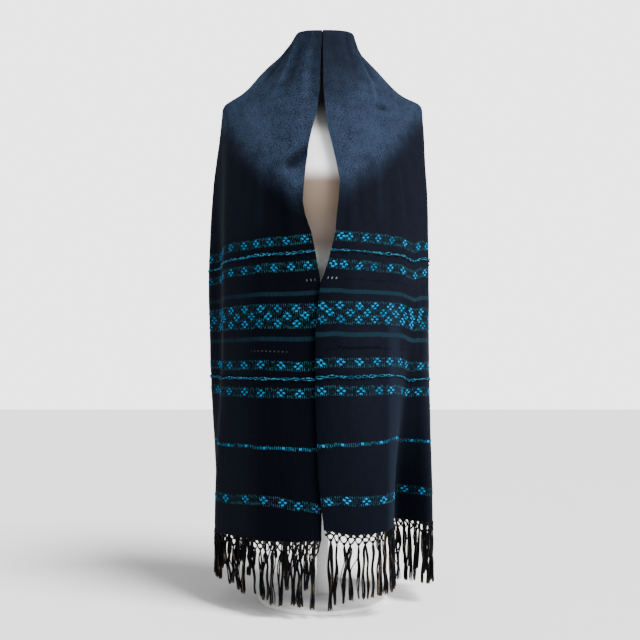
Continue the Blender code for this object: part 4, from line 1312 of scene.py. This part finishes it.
def woven_rows(look, across, along, pattern, colour):
    """Adds the pattern's stripes, ticks and openwork to a colour. Returns the slits as well."""
    right_end = look.place()[0].between(-0.02, 0.02)

    def rows_near(kind, half, soft):
        return reduce(Value.most, [pattern.near(band.pattern, half, soft)
                                   for band in BANDS if band.kind == kind])

    def ticks_of(band):
        gap = (pattern - band.pattern).math("ABSOLUTE")
        if band.kind == "dashes":
            return 1.6 - gap.between(0.0032, 0.004) * 1.6
        return (gap.between(0.003, 0.0062) * 0.7 + 0.3) * (1.0 - gap.between(0.009, 0.01))

    # teal stripes, ribbed where the warp shows through
    ribbed = look.noise((across * 700.0, along * 60.0), 1.0).between(0.25, 0.65)
    stripe = rows_near("stripe", 0.003, 0.0022) * (ribbed * 0.5 + 0.4)
    colour = look.mix(stripe, colour, look.mix(right_end, DIM_TEAL, STRIPE_TEAL))
    # short teal ticks: dense along the edges of the flower rows, faint within them
    edges = reduce(Value.most, [ticks_of(band) for band in BANDS if band.kind in BROCADED])
    thread = across.wave(0.0041).between(-0.1, 0.6)
    cell = look.noise((across * 330.0, pattern * 190.0), 0.0).between(0.36, 0.62)
    tick = edges * thread * cell * 0.85
    colour = look.mix(tick.math("MINIMUM", 1.0), colour, TICK_TEAL)
    # openwork: a row of slits painted dark, for the shade seen through its holes
    slit = rows_near("slits", 0.002, 0.0008) * across.wave(0.0052).between(0.3, 0.6)
    slit = slit * look.noise((across * 60.0, pattern), 1.0).between(0.4, 0.5)
    colour = look.mix(slit * 0.85, colour, SLIT_DARK)
    # the lower row is pale in a few holes on the left, and a dark zigzag on the right
    beads = pattern.near(LOW_SLITS, 0.0011, 0.0007) * across.near(0.112, 0.034, 0.012)
    beads = beads * across.wave(0.0088).between(0.0, 0.6)
    colour = look.mix(beads * (0.5 - right_end), colour, BEAD_PALE)
    zigzag = (across.wave(0.0085) * 0.0014 + pattern).near(LOW_SLITS + 0.0025, 0.0005, 0.0008)
    zigzag = zigzag * across.near(0.085, 0.04, 0.012)
    colour = look.mix(zigzag * right_end, colour, ZIGZAG_DARK)
    # beside the inner selvedges the form shows pale through a few of the upper row's holes
    hole = pattern.near(HIGH_SLITS, 0.0016, 0.0008) * across.near(0.0215, 0.0105, 0.0015)
    hole = hole * across.wave(0.0085).between(0.45, 0.75)
    return look.mix(hole * (right_end * 0.6 + 0.3), colour, HOLE_PALE), slit


def cloth_material():
    look = Look("handwoven_cloth")
    across, along, pattern = look.parts("Attribute", "Vector", attribute_name="cloth")
    streak = look.noise((across * 330.0, along * 520.0), 3.0, 0.75)
    jaspe_and_light = jaspe_and_painted_light(look, across, along, streak)
    colour, slit = woven_rows(look, across, along, pattern, jaspe_and_light)
    weave = along.wave(0.0013) * across.wave(0.0014) * 0.5 + streak * 0.9 - slit * 2.0
    return look.finish(Base_Color=colour, Roughness=streak * 0.15 + 0.74,
                       Normal=look.bump(weave, 0.00018, 0.55), Specular_IOR_Level=0.03,
                       Sheen_Weight=0.02, Sheen_Roughness=0.45, Sheen_Tint=BLUE_SHEEN)


def yarn_material(name, dark, bright, roughness, specular, flecked=False):
    look = Look(name)
    tint = look.attribute("tint")
    x, y, z = look.place()
    fuzz = look.noise((x * 1400.0, y * 1400.0, z * 700.0))
    if flecked:
        colour = look.mix(tint * fuzz.between(0.46, 0.6), dark, bright)
    else:
        colour = look.mix(fuzz.between(0.35, 0.75) * 0.35, look.mix(tint, dark, bright),
                          tuple(c * 0.45 for c in bright))
    return look.finish(Base_Color=colour, Roughness=roughness, Normal=look.bump(fuzz, 0.0002, 0.6),
                       Specular_IOR_Level=specular)


# The form's white jersey, with painted shade in bands: each band's colour beyond the second of two
# heights, coming in from the first
JERSEY_WHITES = (0.96, 0.97, 0.98), (0.91, 0.92, 0.93)
JERSEY_SHADE_BANDS = (
    # painted shade: tan under the bust, grey-brown lower down, then the jersey's own white again, and
    # grey to near black up the neck under the cloth
    (0.888, 0.848, (0.212, 0.157, 0.119)), (0.8, 0.743, (0.303, 0.24, 0.206)),
    (0.738, 0.692, (0.92, 0.92, 0.93)), (0.942, 0.98, (0.26, 0.255, 0.255)),
    (0.975, 1.03, (0.03, 0.028, 0.028)),
)


def jersey_material():
    look = Look("jersey")
    x, y, z = place = look.place()
    blotch = look.noise(place, 4.0, 0.55, 14.0)
    colour = look.mix(blotch.between(0.3, 0.75), *JERSEY_WHITES)
    for start, full, band_colour in JERSEY_SHADE_BANDS:
        colour = look.mix(z.between(start, full), colour, band_colour)
    knit = z.wave(0.0016) * x.wave(0.0018)
    return look.finish(Base_Color=colour, Roughness=0.85, Normal=look.bump(knit, 0.0002, 0.4),
                       Specular_IOR_Level=0.2, Sheen_Weight=0.1)


def paint_material():
    look = Look("white_paint")
    place = look.place()
    speck = look.noise(place, 3.0, scale=420.0)
    wear = look.noise(place, 4.0, 0.6, 26.0)
    colour = look.mix(wear.between(0.58, 0.78), (0.8, 0.8, 0.8), (0.6, 0.6, 0.6))
    return look.finish(Base_Color=colour, Roughness=wear * 0.25 + 0.25,
                       Normal=look.bump(speck, 0.0001, 0.3), Specular_IOR_Level=0.4)


def floor_material():
    look = Look("floor")
    grain = look.noise(look.place(), 3.0, scale=3.0)
    return look.finish(Base_Color=look.mix(grain, (0.92, 0.92, 0.92), (0.94, 0.94, 0.94)),
                       Roughness=0.7)


CLOTH = cloth_material()
BROCADE = yarn_material("brocade_thread", TEAL, CYAN, 0.7, 0.04)
CORD = yarn_material("cord_yarn", DARK_CORD, PALE_CORD, 0.75, 0.05)
FRINGE = yarn_material("fringe_yarn", DARK_FRINGE, PALE_FRINGE, 0.85, 0.05, True)
JERSEY = jersey_material()
PAINT = paint_material()


# ---------------- camera, floor and light

CAMERA_PLACE = (0.0, -1.9, 0.52)
FRAME_WIDTH = 1.344        # what the view is wide at the object's axis
CAMERA_SHIFT = (-2.5 / 640, 30 / 640)
SUN_STRENGTH = 7.5
SUN_SPREAD = 26.0          # degrees
SUN_FROM = (0.6, -0.45, 1.0)
FILL_PLACE = (1.5, -2.3, 1.5)
FILL_AIM = (0.0, 0.0, 0.6)
FILL_SIZE = 1.6
FILL_POWER = 22
AMBIENT = 0.55             # what the white room lights the object by
BACKDROP = 3.3             # how bright that room looks, so that it shows as plain white
FLOOR_HALF = 6.0

camera = new_object("Camera", bpy.data.cameras.new("Camera"))
camera.location = CAMERA_PLACE
camera.rotation_euler = (math.radians(90), 0, 0)
camera.data.sensor_fit = "HORIZONTAL"
camera.data.angle = 2 * math.atan(FRAME_WIDTH / 2 / -CAMERA_PLACE[1])
camera.data.shift_x, camera.data.shift_y = CAMERA_SHIFT
bpy.context.scene.camera = camera

overhead = new_object("overhead", bpy.data.lights.new("overhead", "SUN"))
overhead.data.energy = SUN_STRENGTH
overhead.data.angle = math.radians(SUN_SPREAD)
overhead.rotation_euler = Vector(SUN_FROM).to_track_quat("Z", "Y").to_euler()

fill = new_object("front_fill", bpy.data.lights.new("front_fill", "AREA"))
fill.data.shape = "RECTANGLE"
fill.data.size = fill.data.size_y = FILL_SIZE
fill.data.energy = FILL_POWER
fill.location = FILL_PLACE
fill.rotation_euler = (Vector(FILL_AIM) - Vector(FILL_PLACE)).to_track_quat("-Z", "Y").to_euler()

world = bpy.data.worlds.new("studio")
bpy.context.scene.world = world
world.use_nodes = True
room = world.node_tree
room.nodes["Background"].inputs["Color"].default_value = (1.0, 1.0, 1.0, 1.0)
seen = room.nodes.new("ShaderNodeMapRange")
room.links.new(room.nodes.new("ShaderNodeLightPath").outputs["Is Camera Ray"], seen.inputs[0])
seen.inputs[3].default_value, seen.inputs[4].default_value = AMBIENT, BACKDROP
room.links.new(seen.outputs[0], room.nodes["Background"].inputs["Strength"])

floor = new_mesh("floor", FLOOR_HALF * np.array([(-1, -1, 0), (1, -1, 0), (1, 1, 0), (-1, 1, 0)]),
                 [np.arange(4)[None]])
floor.data.materials.append(floor_material())


# ---------------- what each piece is

PIECES = (
    (shawl_left, CLOTH, "cloth", ("shoulder_left", "front_left", "side_left")),
    (shawl_right, CLOTH, "cloth", ("shoulder_right", "front_right", "side_right")),
    (shawl_back, CLOTH, "cloth", ("back",)),
    (brocade_left, BROCADE, "cloth", ()),
    (brocade_right, BROCADE, "cloth", ()),
    (cord_left, CORD, "cloth", ()),
    (cord_right, CORD, "cloth", ()),
    (fringe_left, FRINGE, "fringe", ("fringe_front_left", "fringe_side_left")),
    (fringe_right, FRINGE, "fringe", ("fringe_front_right", "fringe_side_right")),
    (dress_form, JERSEY, "form", ("form_body",)),
)
for piece, material, slot, nodes in PIECES:
    piece.data.materials.append(material)
    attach(piece, "root")
    if nodes:
        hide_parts(*nodes)
for name in ("stand_pole", "stand_base"):
    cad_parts[name].data.materials[0] = PAINT
